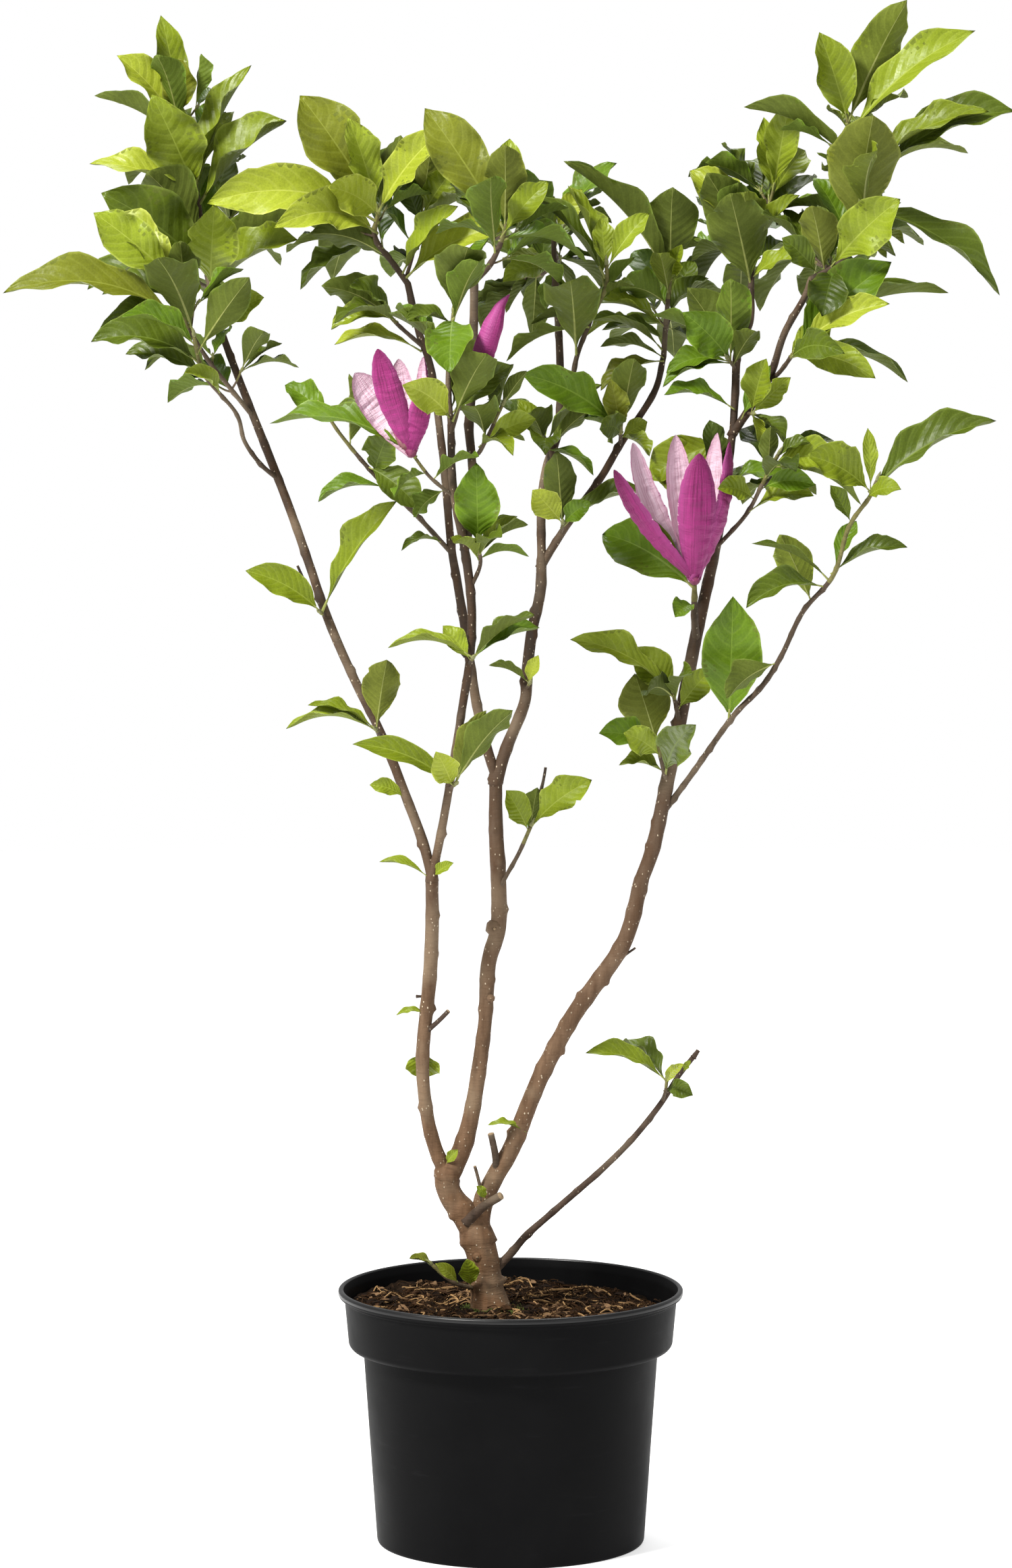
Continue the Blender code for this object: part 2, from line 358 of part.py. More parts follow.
        ("bough_right_upper",), ((16.5, 1.5, 80.8), (18.8, 0.0, 83.5), (19.9, -1.5, 85.7),
                                 (20.6, -2.0, 87.2), (21.3, -2.5, 88.5)), (0.18, 0.15),
        (Lead(0.55, (-3.0, -3.0, 1.1), 25, 0.46), Lead(0.65, (4.3, -2.0, 0.6), 20, 0.40),
         Lead(0.82, (0.2, -0.6, 3.8), 170, 0.40), Lead(1.0, (2.6, -1.0, 1.3), 50, 0.44),
         Lead(0.92, (5.2, -1.2, -0.3), 30, 0.54), Lead(0.97, (4.3, 1.2, 0.9), 90, 0.30),
         Lead(0.88, (7.3, -3.0, -2.6), 100, 0.30)),
        1, 6.5, (Shoot(0.70, (2.0, 5.5, 2.0), (), 3),), 38),
    "foliage_right_front": Mass(
        ("bough_right_upper",), ((12.5, -1.0, 60.0), (14.7, -2.5, 63.2), (17.7, -5.0, 67.8),
                                 (19.9, -6.5, 70.3), (21.4, -8.0, 72.9), (23.0, -9.5, 76.5),
                                 (25.3, -11.3, 79.5), (26.4, -12.5, 83.3), (28.0, -13.5, 85.8),
                                 (28.5, -13.8, 87.0)), (0.25, 0.22, 0.19, 0.16),
        (Lead(0.28, (0.2, -2.0, 10.2), 0, 0.47), Lead(0.48, (-4.2, -1.6, -2.6), 150, 0.50),
         Lead(0.66, (-2.6, -1.6, 5.4), 170, 0.46), Lead(0.71, (-6.2, -2.0, -1.2), 50, 0.36),
         Lead(0.73, (-6.2, 0.0, 3.0), 90, 0.18), Lead(0.76, (1.8, -0.8, 3.8), 30, 0.36),
         Lead(0.75, (5.8, -1.0, 2.2), 60, 0.28), Lead(0.88, (-1.7, -0.5, 3.1), 20, 0.40),
         Lead(0.97, (-5.0, -2.0, 3.0), 25, 0.56), Lead(1.0, (-0.2, -0.5, 5.0), 10, 0.24),
         Lead(0.98, (9.7, -1.0, 5.6), 50, 0.30), Lead(0.95, (2.4, -3.0, 1.0), 40)),
        0, 6.5, (), 39),
    "foliage_right_tuft": Mass(
        ("bough_right_upper",), ((13.6, -0.2, 66.8), (13.0, -1.8, 69.4)), (0.20, 0.15),
        (Lead(1.0, (-8.1, -1.5, 4.7), 50, 0.30), Lead(0.9, (-3.0, -0.5, 3.9), 10, 0.62),
         Lead(0.8, (-2.7, -3.0, 1.0), 160, 0.58), Lead(0.7, (1.0, -3.0, 3.0), 120, 0.46),
         Lead(0.4, (2.7, -2.0, 3.6), 10, 0.46)),
        0, 6.0, (), 40),
    "foliage_right_lower": Mass(
        ("bough_right_upper",), ((12.6, -1.0, 62.0), (12.2, -2.2, 63.4), (11.8, -2.9, 65.2)),
        (0.20, 0.15),
        (Lead(1.0, (-1.9, -1.5, 5.8), 178, 0.66), Lead(0.85, (-4.8, -1.5, 1.8), 40, 0.50),
         Lead(0.75, (-3.0, -3.0, 2.2), 10, 0.50), Lead(0.25, (2.0, -3.6, 5.0), 20, 0.46),
         Lead(0.35, (-3.6, -0.6, 0.8), 60, 0.40), Lead(0.10, (-4.8, -1.0, -2.4), 20, 0.46)),
        0, 6.0, (), 41),
    "foliage_right_behind": Mass(
        ("bough_right_upper",), ((17.0, 1.9, 84.0), (16.6, 3.2, 85.6)), (0.17, 0.13),
        (Lead(1.0, (-5.4, 1.0, 2.0), 10, 0.70), Lead(0.8, (-2.0, 4.0, 4.0), 60)),
        2, 7.5, (), 42),
    "foliage_low": Mass(
        ("branch_low",), ((12.3, 0.6, 36.0), (12.5, -0.7, 37.0), (12.6, -0.9, 37.9)),
        (0.15, 0.13),
        (Lead(1.0, (-6.5, -1.0, 2.6), 60, 0.30), Lead(0.9, (-3.4, 0.5, 3.2), 60, 0.48),
         Lead(0.8, (1.2, -1.4, 2.2), 30, 0.34), Lead(0.5, (2.2, -1.6, -0.1), 20, 0.56)),
        0, 5.0, (), 43),
    "foliage_base_sprout": Mass(
        ("trunk",), ((-2.4, -1.8, 21.0), (-4.6, -3.2, 21.8), (-6.3, -3.6, 23.3)), (0.16, 0.13),
        (Lead(1.0, (-2.0, -0.5, 0.7), 60, 0.40), Lead(0.7, (0.4, -2.0, 1.7), 20, 0.44),
         Lead(0.3, (0.4, -1.6, 1.8), 0, 0.60)),
        0, 4.0, (), 44),
}


# Blooms: a twig that ends in tepals, each turned by some degrees to show more of its inner
# face to the front. A bud is a closed spindle on its twig.
Bloom = namedtuple("Bloom", "host stem radii petals leaves")
BLOOMS = {
    "bloom_right": Bloom(
        "bough_right_upper", ((14.9, 0.0, 73.6), (14.7, -1.3, 75.8), (14.7, -1.8, 78.5)),
        (0.42, 0.34, 0.22),
        (Petal((-6.6, -1.4, 9.0), 2.8, 0.5, -35), Petal((-5.0, 2.0, 11.0), 2.6, 0.6, 18),
         Petal((-1.5, 2.8, 11.6), 2.6, 0.7, 10), Petal((0.3, -2.6, 10.4), 3.2, 0.8, 0),
         Petal((1.9, 2.2, 11.8), 2.6, 0.7, 10), Petal((2.8, -0.4, 11.2), 2.5, 0.6, 0)),
        (Lead(0.85, (-7.4, 1.5, 4.2), 10, 0.46), Lead(0.6, (-1.6, -2.4, -0.8), 40, 0.60))),
    "bloom_left": Bloom(
        "bough_left_inner", ((-4.4, -10.9, 85.6), (-6.3, -11.9, 87.2), (-7.8, -12.3, 89.2)),
        (0.18, 0.16),
        (Petal((-4.5, 1.2, 6.3), 2.9, 0.5, 60), Petal((-2.9, -2.4, 8.1), 3.2, 0.6, -30),
         Petal((-1.0, 1.8, 7.4), 2.0, 0.6, 15), Petal((1.0, 0.8, 7.6), 2.0, 0.6, 0),
         Petal((1.3, -2.0, 5.6), 2.4, 0.6, -25)),
        (Lead(0.9, (-11.4, 2.0, 2.8), 60, 0.26), Lead(0.45, (3.6, -2.6, 2.0), 110, 0.46),
         Lead(0.6, (-2.6, -3.4, 0.6), 100, 0.44), Lead(0.2, (-2.6, -2.0, -2.0), 150, 0.50))),
}
BUD_TWIG = ((-4.7, -11.5, 90.6), (-3.9, -12.8, 93.2), (-2.7, -13.0, 95.4))
BUD_TWIG_RADII = (0.20, 0.17)
BUD_REACH = (2.3, -0.8, 6.3)
BUD_RADIUS = 0.0095


def clear_scene():
    for thing in list(bpy.data.objects):
        bpy.data.objects.remove(thing)


def make_material(name, colour, roughness):
    material = bpy.data.materials.new(name)
    material.use_nodes = True
    shader = material.node_tree.nodes["Principled BSDF"]
    shader.inputs["Base Color"].default_value = (*colour, 1.0)
    shader.inputs["Roughness"].default_value = roughness
    return material


def metres(points):
    return [Vector(p) * CM for p in points]


def make_object(name, verts, faces, material):
    """One closed mesh object with its faces pointing out."""
    mesh = bpy.data.meshes.new(name)
    mesh.from_pydata([tuple(v) for v in verts], [], faces)
    mesh.materials.append(material)
    shape = bmesh.new()
    shape.from_mesh(mesh)
    bmesh.ops.recalc_face_normals(shape, faces=shape.faces)
    shape.to_mesh(mesh)
    shape.free()
    thing = bpy.data.objects.new(name, mesh)
    bpy.context.scene.collection.objects.link(thing)
    return thing


# Curves and tubes

def smooth_path(points, spacing):
    """Points about one spacing apart on a Catmull-Rom curve through the given points."""
    ends = [points[0] * 2 - points[1]] + list(points) + [points[-1] * 2 - points[-2]]
    dense = [points[0]]
    for i in range(1, len(ends) - 2):
        a, b, c, d = ends[i - 1:i + 3]
        for step in range(1, 9):
            t = step / 8
            dense.append(0.5 * (2 * b + (c - a) * t + (2 * a - 5 * b + 4 * c - d) * t ** 2
                                + (3 * b - a - 3 * c + d) * t ** 3))
    lengths = [0.0]
    for p, q in zip(dense, dense[1:]):
        lengths.append(lengths[-1] + (q - p).length)
    count = max(2, round(lengths[-1] / spacing) + 1)
    path = []
    k = 0
    for i in range(count):
        goal = lengths[-1] * i / (count - 1)
        while k < len(dense) - 2 and lengths[k + 1] < goal:
            k += 1
        span = max(lengths[k + 1] - lengths[k], 1e-9)
        path.append(dense[k].lerp(dense[k + 1], (goal - lengths[k]) / span))
    return path


def radius_at(radii, share):
    """Read a radius from evenly spaced values, in centimetres, as metres."""
    place = min(max(share, 0.0), 1.0) * (len(radii) - 1)
    k = min(int(place), len(radii) - 2)
    return (radii[k] + (radii[k + 1] - radii[k]) * (place - k)) * CM


def tangents(path):
    steps = [(path[min(i + 1, len(path) - 1)] - path[max(i - 1, 0)]).normalized()
             for i in range(len(path))]
    return steps


def tube_shape(path, radii, sides, extra=0.0, foot_flat=False):
    """Vertices and faces of a closed tapering tube with flat ends."""
    along = tangents(path)
    if foot_flat:
        along[0] = UP.copy()
    side = along[0].orthogonal().normalized()
    if foot_flat:
        side = Vector((1.0, 0.0, 0.0))
    verts = []
    for i, (centre, axis) in enumerate(zip(path, along)):
        side = (side - axis * side.dot(axis)).normalized()
        across = axis.cross(side)
        radius = radius_at(radii, i / (len(path) - 1)) + extra
        for k in range(sides):
            angle = 2 * math.pi * k / sides
            verts.append(centre + (side * math.cos(angle) + across * math.sin(angle)) * radius)
    faces = [tuple(range(sides))]
    for i in range(len(path) - 1):
        for k in range(sides):
            a = i * sides + k
            b = i * sides + (k + 1) % sides
            faces.append((a, b, b + sides, a + sides))
    last = (len(path) - 1) * sides
    faces.append(tuple(last + k for k in range(sides)))
    return verts, faces


def stub_shape(stub, extra=0.0):
    start, end = metres((stub.start, stub.end))
    end = end + (end - start).normalized() * extra
    return tube_shape((start, end), (stub.radius, stub.radius * 0.9), 6, extra)


def lathe_shape(profile, sides):
    """Turn a profile of (radius, height) round Z. Its ends lie on the axis."""
    verts = [(0.0, 0.0, profile[0][1])]
    for radius, height in profile[1:-1]:
        for k in range(sides):
            angle = 2 * math.pi * k / sides
            verts.append((radius * math.cos(angle), radius * math.sin(angle), height))
    verts.append((0.0, 0.0, profile[-1][1]))
    rings = len(profile) - 2
    faces = []
    for k in range(sides):
        j = (k + 1) % sides
        faces.append((0, 1 + k, 1 + j))
        for r in range(rings - 1):
            a = 1 + r * sides
            b = a + sides
            faces.append((a + k, b + k, b + j, a + j))
        top = 1 + (rings - 1) * sides
        faces.append((top + k, len(verts) - 1, top + j))
    return verts, faces


# Booleans

def is_closed(mesh):
    shape = bmesh.new()
    shape.from_mesh(mesh)
    closed = bool(shape.faces) and all(len(edge.link_faces) == 2 for edge in shape.edges)
    shape.free()
    return closed


def best_ear(shape, loop, normal):
    """The best corner to cut off a face, whose cut is not an edge already."""
    best = None
    for i, corner in enumerate(loop):
        before = loop[i - 1]
        after = loop[(i + 1) % len(loop)]
        if shape.edges.get((before, after)) is not None:
            continue
        corners = (before.co, corner.co, after.co)
        turn = (corners[1] - corners[0]).cross(corners[2] - corners[1]).dot(normal)
        spread = max((corners[k] - corners[k - 1]).length_squared for k in range(3))
        if turn <= 0.0 or (best is not None and turn / spread <= best[0]):
            continue
        others = [vert.co for vert in loop if vert not in (before, corner, after)]
        covered = False
        for point in others:
            sides = [(corners[k] - corners[k - 1]).cross(point - corners[k - 1]).dot(normal)
                     for k in range(3)]
            covered = covered or min(sides) >= 0.0
        if not covered:
            best = (turn / spread, i)
    return None if best is None else best[1]


def cut_into_triangles(shape):
    """Triangles that share no edge by chance, so that a closed mesh stays closed."""
    for face in [face for face in shape.faces if len(face.verts) > 3]:
        loop = list(face.verts)
        normal = face.normal.copy()
        ears = []
        while len(loop) > 3:
            ear = best_ear(shape, loop, normal)
            if ear is None:
                break
            ears.append((loop[ear - 1], loop[ear], loop[(ear + 1) % len(loop)]))
            del loop[ear]
        if len(loop) > 3:
            continue
        shape.faces.remove(face)
        for corners in ears + [tuple(loop)]:
            shape.faces.new(corners)
    bmesh.ops.triangulate(shape, faces=shape.faces)


def keep_largest_body(thing):
    """Drop loose scraps, so that the object is one body."""
    shape = bmesh.new()
    shape.from_mesh(thing.data)
    seen = set()
    bodies = []
    for start in shape.verts:
        if start in seen:
            continue
        body = []
        stack = [start]
        seen.add(start)
        while stack:
            vert = stack.pop()
            body.append(vert)
            for edge in vert.link_edges:
                other = edge.other_vert(vert)
                if other not in seen:
                    seen.add(other)
                    stack.append(other)
        bodies.append(body)
    bodies.sort(key=lambda body: -len(body))
    scraps = [vert for body in bodies[1:] for vert in body]
    bmesh.ops.delete(shape, geom=scraps, context="VERTS")
    cut_into_triangles(shape)
    shape.to_mesh(thing.data)
    shape.free()


def merge_close_points(thing):
    """Merge points that nearly coincide, if the mesh stays closed by it."""
    merged = thing.data.copy()
    shape = bmesh.new()
    shape.from_mesh(merged)
    bmesh.ops.remove_doubles(shape, verts=shape.verts, dist=MERGE)
    bmesh.ops.dissolve_degenerate(shape, edges=shape.edges, dist=MERGE)
    shape.to_mesh(merged)
    shape.free()
    if is_closed(merged):
        thing.data = merged


def bake_modifiers(thing):
    depsgraph = bpy.context.evaluated_depsgraph_get()
    depsgraph.update()
    result = bpy.data.meshes.new_from_object(thing.evaluated_get(depsgraph))
    thing.modifiers.clear()
    return result


def cut_clear(thing, host_names):
    """Cut an object back so that it stands a gap clear of the limbs that carry it."""
    for host in host_names:
        limb = LIMBS[host]
        path = limb_paths[host]
        along = tangents(path)
        longer = [path[0] - along[0] * GAP] + path[1:-1] + [path[-1] + along[-1] * GAP]
        shapes = [tube_shape(longer, limb.radii, limb.sides, extra=GAP)]
        for stub in limb.stubs:
            shapes.append(stub_shape(stub, extra=GAP))
        for verts, faces in shapes:
            cutter = make_object("cutter", verts, faces, bark)
            cut = thing.modifiers.new("clear_of_host", "BOOLEAN")
            cut.operation = "DIFFERENCE"
            cut.solver = "EXACT"
            cut.object = cutter
            thing.data = bake_modifiers(thing)
            bpy.data.objects.remove(cutter)
    keep_largest_body(thing)
    merge_close_points(thing)


def flaw_in(mesh):
    """The middle of an edge that keeps the mesh from being closed."""
    shape = bmesh.new()
    shape.from_mesh(mesh)
    flaws = [(edge.verts[0].co + edge.verts[1].co) / 2 for edge in shape.edges
             if len(edge.link_faces) != 2]
    shape.free()
    return flaws[0] if flaws else Vector((0.0, 0.0, 0.0))


def nearest_part(parts, place):
    def distance(part):
        return part.closest_point_on_mesh(place)[1]

    return min(parts, key=lambda part: (distance(part) - place).length)


def fuse(thing, parts):
    """Join an object and its parts into one body with one Boolean union.

    Where a union does not close, the other solver has a turn. Then the part nearest
    the flaw is moved by a hair, and in the end left out.
    """
    own = thing.data.copy()
    for attempt in range(12):
        group = bpy.data.collections.new("parts")
        bpy.context.scene.collection.children.link(group)
        for part in parts:
            group.objects.link(part)
        for solver in ("EXACT", "MANIFOLD"):
            thing.data = own.copy()
            union = thing.modifiers.new("join", "BOOLEAN")
            union.operation = "UNION"
            union.operand_type = "COLLECTION"
            union.collection = group
            union.solver = solver
            thing.data = bake_modifiers(thing)
            keep_largest_body(thing)
            if is_closed(thing.data):
                merge_close_points(thing)
                break
        bpy.data.collections.remove(group)
        if is_closed(thing.data):
            break
        part = nearest_part(parts, flaw_in(thing.data))
        if attempt < 6:
            part.data.transform(Matrix.Translation((0.0, 0.0, HAIR)))
        else:
            parts.remove(part)
            bpy.data.objects.remove(part)
        print(thing.name, "is fused again")
    for part in parts:
        bpy.data.objects.remove(part)


# What is already there, for the test of each new leaf

Obstacle = namedtuple("Obstacle", "tree low high owner")
obstacles = []


def bounds_of(verts):
    low = Vector((min(v[k] for v in verts) for k in range(3)))
    high = Vector((max(v[k] for v in verts) for k in range(3)))
    return low, high


def add_obstacle(verts, faces, owner):
    low, high = bounds_of(verts)
    obstacles.append(Obstacle(BVHTree.FromPolygons(verts, faces), low, high, owner))


def touches(verts, faces, ignore=()):
    """True where a shape meets anything that stands already."""
    low, high = bounds_of(verts)
    tree = None
    for item in obstacles:
        if item.owner in ignore:
            continue
        if any(low[k] > item.high[k] or high[k] < item.low[k] for k in range(3)):
            continue
        if tree is None:
            tree = BVHTree.FromPolygons(verts, faces)
        if tree.overlap(item.tree):
            return True
    return False


# Leaves and petals

LEAF_PROFILE = ((0.0, None), (0.13, 0.10), (0.40, 0.80), (0.70, 0.98))
PLAIN_PROFILE = ((0.0, None), (0.28, 0.52), (0.64, 1.0))
PETAL_PROFILE = ((0.0, 0.30), (0.45, 0.90), (0.78, 1.0))


def blade_shape(root, reach, normal, half_width, arch, lift, profile, thickness, root_half,
                extra=0.0, start=0):
    """A thin pointed blade of three-cornered sections, from its root to its tip.

    The arch is how far the middle of the blade stands off the line from root to tip.
    """
    along = reach.normalized()
    normal = (normal - along * normal.dot(along)).normalized()
    across = along.cross(normal)
    verts = []
    for share, width in profile[start:]:
        centre = root + reach * share + arch * (4 * share * (1 - share))
        half = root_half if width is None else half_width * width
        half = max(half, root_half) + extra
        edge = normal * (lift * half + extra)
        verts.append(centre - across * half + edge)
        verts.append(centre + across * half + edge)
        verts.append(centre - normal * (thickness + extra))
    verts.append(root + reach)
    faces = [(0, 1, 2)]
    rings = len(profile) - start
    for r in range(rings - 1):
        for a, b in ((0, 1), (1, 2), (2, 0)):
            faces.append((r * 3 + a, r * 3 + b, r * 3 + 3 + b, r * 3 + 3 + a))
    last = (rings - 1) * 3
    for a, b in ((0, 1), (1, 2), (2, 0)):
        faces.append((last + a, last + b, len(verts) - 1))
    return verts, faces


def leaf_shape(root, reach, normal, width_ratio, profile, extra=0.0, start=0):
    length = reach.length
    along = reach / length
    thickness = max(LEAF_MIN_THICKNESS, LEAF_THICKNESS_RATIO * length)
    level = 1.0 - abs(along.z)
    arch = normal * LEAF_BULGE + (UP - along * along.z) * (LEAF_SAG * level)
    return blade_shape(root, reach, normal, length * width_ratio / 2, arch * length, LEAF_LIFT,
                       profile, thickness, PETIOLE_HALF, extra, start)


def facing(reach, turn):
    """The normal of a leaf's upper side. Turn 0 faces the front and 90 faces up."""
    along = reach.normalized()
    front = FRONT - along * FRONT.dot(along)
    if front.length < 0.2:
        front = UP - along * UP.dot(along)
    front.normalize()
    rise = along.cross(front)
    if rise.z < 0.0:
        rise.negate()
    angle = math.radians(turn)
    return front * math.cos(angle) + rise * math.sin(angle)


def try_leaf(root, reach, normal, width_ratio, owner, profile=LEAF_PROFILE):
    """The leaf's shape, nudged in depth to a free place, or None where there is none."""
    for nudge in NUDGES:
        moved = reach + Vector((0.0, nudge, 0.0))
        blade = leaf_shape(root, moved, normal, width_ratio, profile, CLEARANCE, start=1)
        whole = leaf_shape(root, moved, normal, width_ratio, profile, CLEARANCE)
        if touches(*blade) or touches(*whole, ignore=(owner, owner + ":twig")):
            continue
        shape = leaf_shape(root, moved, normal, width_ratio, profile)
        add_obstacle(*shape, owner)
        return shape
    return None


# Growth of one mass

class Growth:
    """A mass while it grows: its stem, its shoots and the shapes of its leaves."""

    def __init__(self, name, mass):
        self.name = name
        self.mass = mass
        self.random = random.Random(mass.seed)
        self.twigs = []
        self.leaves = []
        self.skipped = []

    def point_on(self, path, station):
        place = min(station, 0.97) * (len(path) - 1)
        k = min(int(place), len(path) - 2)
        return path[k].lerp(path[k + 1], place - k)

    def add_twig(self, path, radii, sides):
        shape = tube_shape(path, radii, sides)
        add_obstacle(*shape, self.name + ":twig")
        self.twigs.append((path, shape))
        return path

    def grow_stem(self):
        points = metres(self.mass.stem)
        path = smooth_path(points, RING_SPACING * 0.7)
        self.stem = path
        add_obstacle(*tube_shape(path, self.mass.radii, STEM_SIDES), self.name + ":twig")

    def grow_shoots(self):
        self.shoot_paths = []
        for shoot in self.mass.shoots:
            root = self.point_on(self.stem, shoot.station)
            reach = Vector(shoot.reach) * CM
            bow = UP * (-0.06 * reach.length)
            middle = root + reach * 0.5 + bow
            path = smooth_path([root, middle, root + reach], RING_SPACING)
            thin = (self.mass.radii[-1] * 0.95, 0.13)
            shape = tube_shape(path, thin, TWIG_SIDES, extra=CLEARANCE)
            if touches(*shape, ignore=(self.name + ":twig",)):
                self.shoot_paths.append(None)
                continue
            self.shoot_paths.append(self.add_twig(path, thin, TWIG_SIDES))

    def grow_leads(self):
        self.lead_row(self.stem, self.mass.leads)
        for path, shoot in zip(self.shoot_paths, self.mass.shoots):
            if path is not None:
                self.lead_row(path, shoot.leads)

    def lead_row(self, path, leads):
        for lead in leads:
            reach = Vector(lead.reach) * CM
            width = lead.width
            if width is None:
                width = LONG_LEAF_RATIO if reach.length > LONG_LEAF else LEAF_WIDTH_RATIO
            self.add_leaf(self.point_on(path, lead.station), reach, facing(reach, lead.turn),
                          width)

    def grow_fill(self):
        self.fill_row(self.stem, self.mass.fill)
        for path, shoot in zip(self.shoot_paths, self.mass.shoots):
            if path is not None:
                self.fill_row(path, shoot.fill)

    def fill_row(self, path, count):
        """Leaves by rule: a golden-angle spiral that closes up towards the tip."""
        axis = (path[-1] - path[0]).normalized()
        side = axis.orthogonal().normalized()
        across = axis.cross(side)
        phase = self.random.uniform(0.0, 2 * math.pi)
        for i in range(count):
            share = (i + 0.6) / count
            station = 0.30 + 0.67 * share ** 0.7
            angle = phase + i * GOLDEN_ANGLE
            radial = side * math.cos(angle) + across * math.sin(angle)
            radial.x *= 0.55
            open_angle = math.radians(self.random.uniform(48, 72) - 26 * share)
            length = self.mass.size * CM * self.random.uniform(0.72, 1.08)
            heading = axis * math.cos(open_angle) + radial.normalized() * math.sin(open_angle)
            heading.z -= 0.10
            reach = heading.normalized() * length
            normal = UP + radial * self.random.uniform(-0.2, 0.5) - axis * 0.4
            self.add_leaf(self.point_on(path, station), reach, normal.normalized(),
                          LEAF_WIDTH_RATIO, PLAIN_PROFILE)

    def add_leaf(self, root, reach, normal, width, profile=LEAF_PROFILE):
        shape = try_leaf(root, reach, normal, width, self.name, profile)
        if shape is None:
            self.skipped.append(tuple(round(k / CM, 1) for k in reach))
        else:
            self.leaves.append(shape)


def build_mass(growth):
    stem = make_object(growth.name, *tube_shape(growth.stem, growth.mass.radii, STEM_SIDES),
                       leaf_green)
    cut_clear(stem, growth.mass.hosts)
    parts = []
    for _, shape in growth.twigs:
        parts.append(make_object("twig", *shape, leaf_green))
    for shape in growth.leaves:
        parts.append(make_object("leaf", *shape, leaf_green))
    fuse(stem, parts)


# Pot and soil

def build_pot():
    wall = POT_WALL
    rim = POT_RIM_RADIUS
    outside = [(0.0, 0.0), (POT_BASE_RADIUS - 0.002, 0.0), (POT_BASE_RADIUS, 0.003),
               (0.1197, COLLAR_BOTTOM - 0.001), (0.1275, COLLAR_BOTTOM),
               (0.1315, COLLAR_BOTTOM + 0.004), (rim - 0.0045, POT_HEIGHT - 0.007),
               (rim, POT_HEIGHT - 0.0045), (rim, POT_HEIGHT - 0.0015)]
    inside = [(rim - 0.0015, POT_HEIGHT), (rim - 0.0045, POT_HEIGHT),
              (rim - 0.0045 - wall, POT_HEIGHT - 0.007), (0.1318 - wall, COLLAR_BOTTOM + 0.004),
              (0.1193 - wall, COLLAR_BOTTOM + 0.002), (POT_BASE_RADIUS - wall, POT_FLOOR),
              (0.0, POT_FLOOR)]
    pot = make_object("pot", *lathe_shape(outside + inside, POT_SIDES), black_plastic)
    pot.data.shade_smooth()
    pot.data.set_sharp_from_angle(angle=math.radians(35))


def soil_height(x, y):
    """A heaped surface, lower at the right, flat under the trunk's foot."""
    away = math.hypot(x - FOOT[0] * CM, y - FOOT[1] * CM)
    heap = -0.030 * x - 0.020 * y + 0.0016 * math.sin(61 * x + 1.0) * math.cos(53 * y)
    blend = min(1.0, max(0.0, (away - FOOT_CLEAR_RADIUS) / 0.02))
    return SOIL_LEVEL + (heap - 0.002) * blend


def build_soil():
    wall = POT_WALL + GAP
    top_radius = POT_RIM_RADIUS - 0.0050 - wall - 0.0006
    profile = [(0.0, POT_FLOOR + GAP), (POT_BASE_RADIUS - wall, POT_FLOOR + GAP),
               (0.1190 - wall, COLLAR_BOTTOM + 0.003), (0.1312 - wall, COLLAR_BOTTOM + 0.006),
               (top_radius - 0.003, 0.183), (0.108, SOIL_LEVEL), (0.084, SOIL_LEVEL),
               (0.060, SOIL_LEVEL), (0.040, SOIL_LEVEL), (0.020, SOIL_LEVEL), (0.0, SOIL_LEVEL)]
    verts, faces = lathe_shape(profile, SOIL_SIDES)
    rims = len(verts) - 1 - 5 * SOIL_SIDES
    shaped = [(x, y, soil_height(x, y) if i >= rims else z)
              for i, (x, y, z) in enumerate(verts)]
    build = make_object("soil", shaped, faces, soil_brown)
    build.data.shade_smooth()
    build.data.set_sharp_from_angle(angle=math.radians(40))


# Limbs

def limb_path(name):
    """The limb's curve. A limb that carries on from its host starts one gap past it."""
    limb = LIMBS[name]
    points = metres(limb.points)
    if limb.hosts:
        host_end = metres(LIMBS[limb.hosts[0]].points)[-1]
        if (points[0] - host_end).length < 1e-6:
            host = limb_paths[limb.hosts[0]]
            step = (host[-1] - host[-2]).normalized()
            points[0] = host[-1] + step * GAP
    return smooth_path(points, RING_SPACING)


def limb_tube(name, extra=0.0):
    limb = LIMBS[name]
    path = limb_paths[name]
    return tube_shape(path, limb.radii, limb.sides, extra, foot_flat=not limb.hosts)


def build_limb(name):
    limb = LIMBS[name]
    wood = make_object(name, *limb_tube(name), bark)
    cut_clear(wood, limb.hosts)
    parts = []
    for stub in limb.stubs:
        add_obstacle(*stub_shape(stub, CLEARANCE), name)
        parts.append(make_object("stub", *stub_shape(stub), bark))
    if parts:
        fuse(wood, parts)
    wood.data.shade_smooth()
    wood.data.set_sharp_from_angle(angle=math.radians(50))


# Blooms

def petal_normal(reach, turn):
    """The normal of a tepal's inner face. A turn brings that face to the front."""
    outward = Vector((reach.x, reach.y, 0.0))
    normal = (-outward.normalized() + UP * 0.2).normalized()
    angle = math.copysign(1.0, reach.cross(normal).dot(FRONT)) * math.radians(turn)
    return Quaternion(reach.normalized(), angle) @ normal


def grow_bloom(name):
    """Reserve the space of a bloom's twig and tepals before the leaves grow."""
    bloom = BLOOMS[name]
    path = smooth_path(metres(bloom.stem), 0.010)
    foot = path[-1]
    shapes = []
    for petal in bloom.petals:
        reach = Vector(petal.reach) * CM
        normal = petal_normal(reach, petal.turn)
        root = foot - reach.normalized() * 0.003
        shape = blade_shape(root, reach, normal, petal.width * CM / 2,
                            -normal * 0.10 * reach.length, petal.cup,
                            PETAL_PROFILE, 0.0012, 0.0016)
        shapes.append(shape)
        add_obstacle(*shape, name)
    add_obstacle(*tube_shape(path, bloom.radii, 5), name)
    return path, shapes


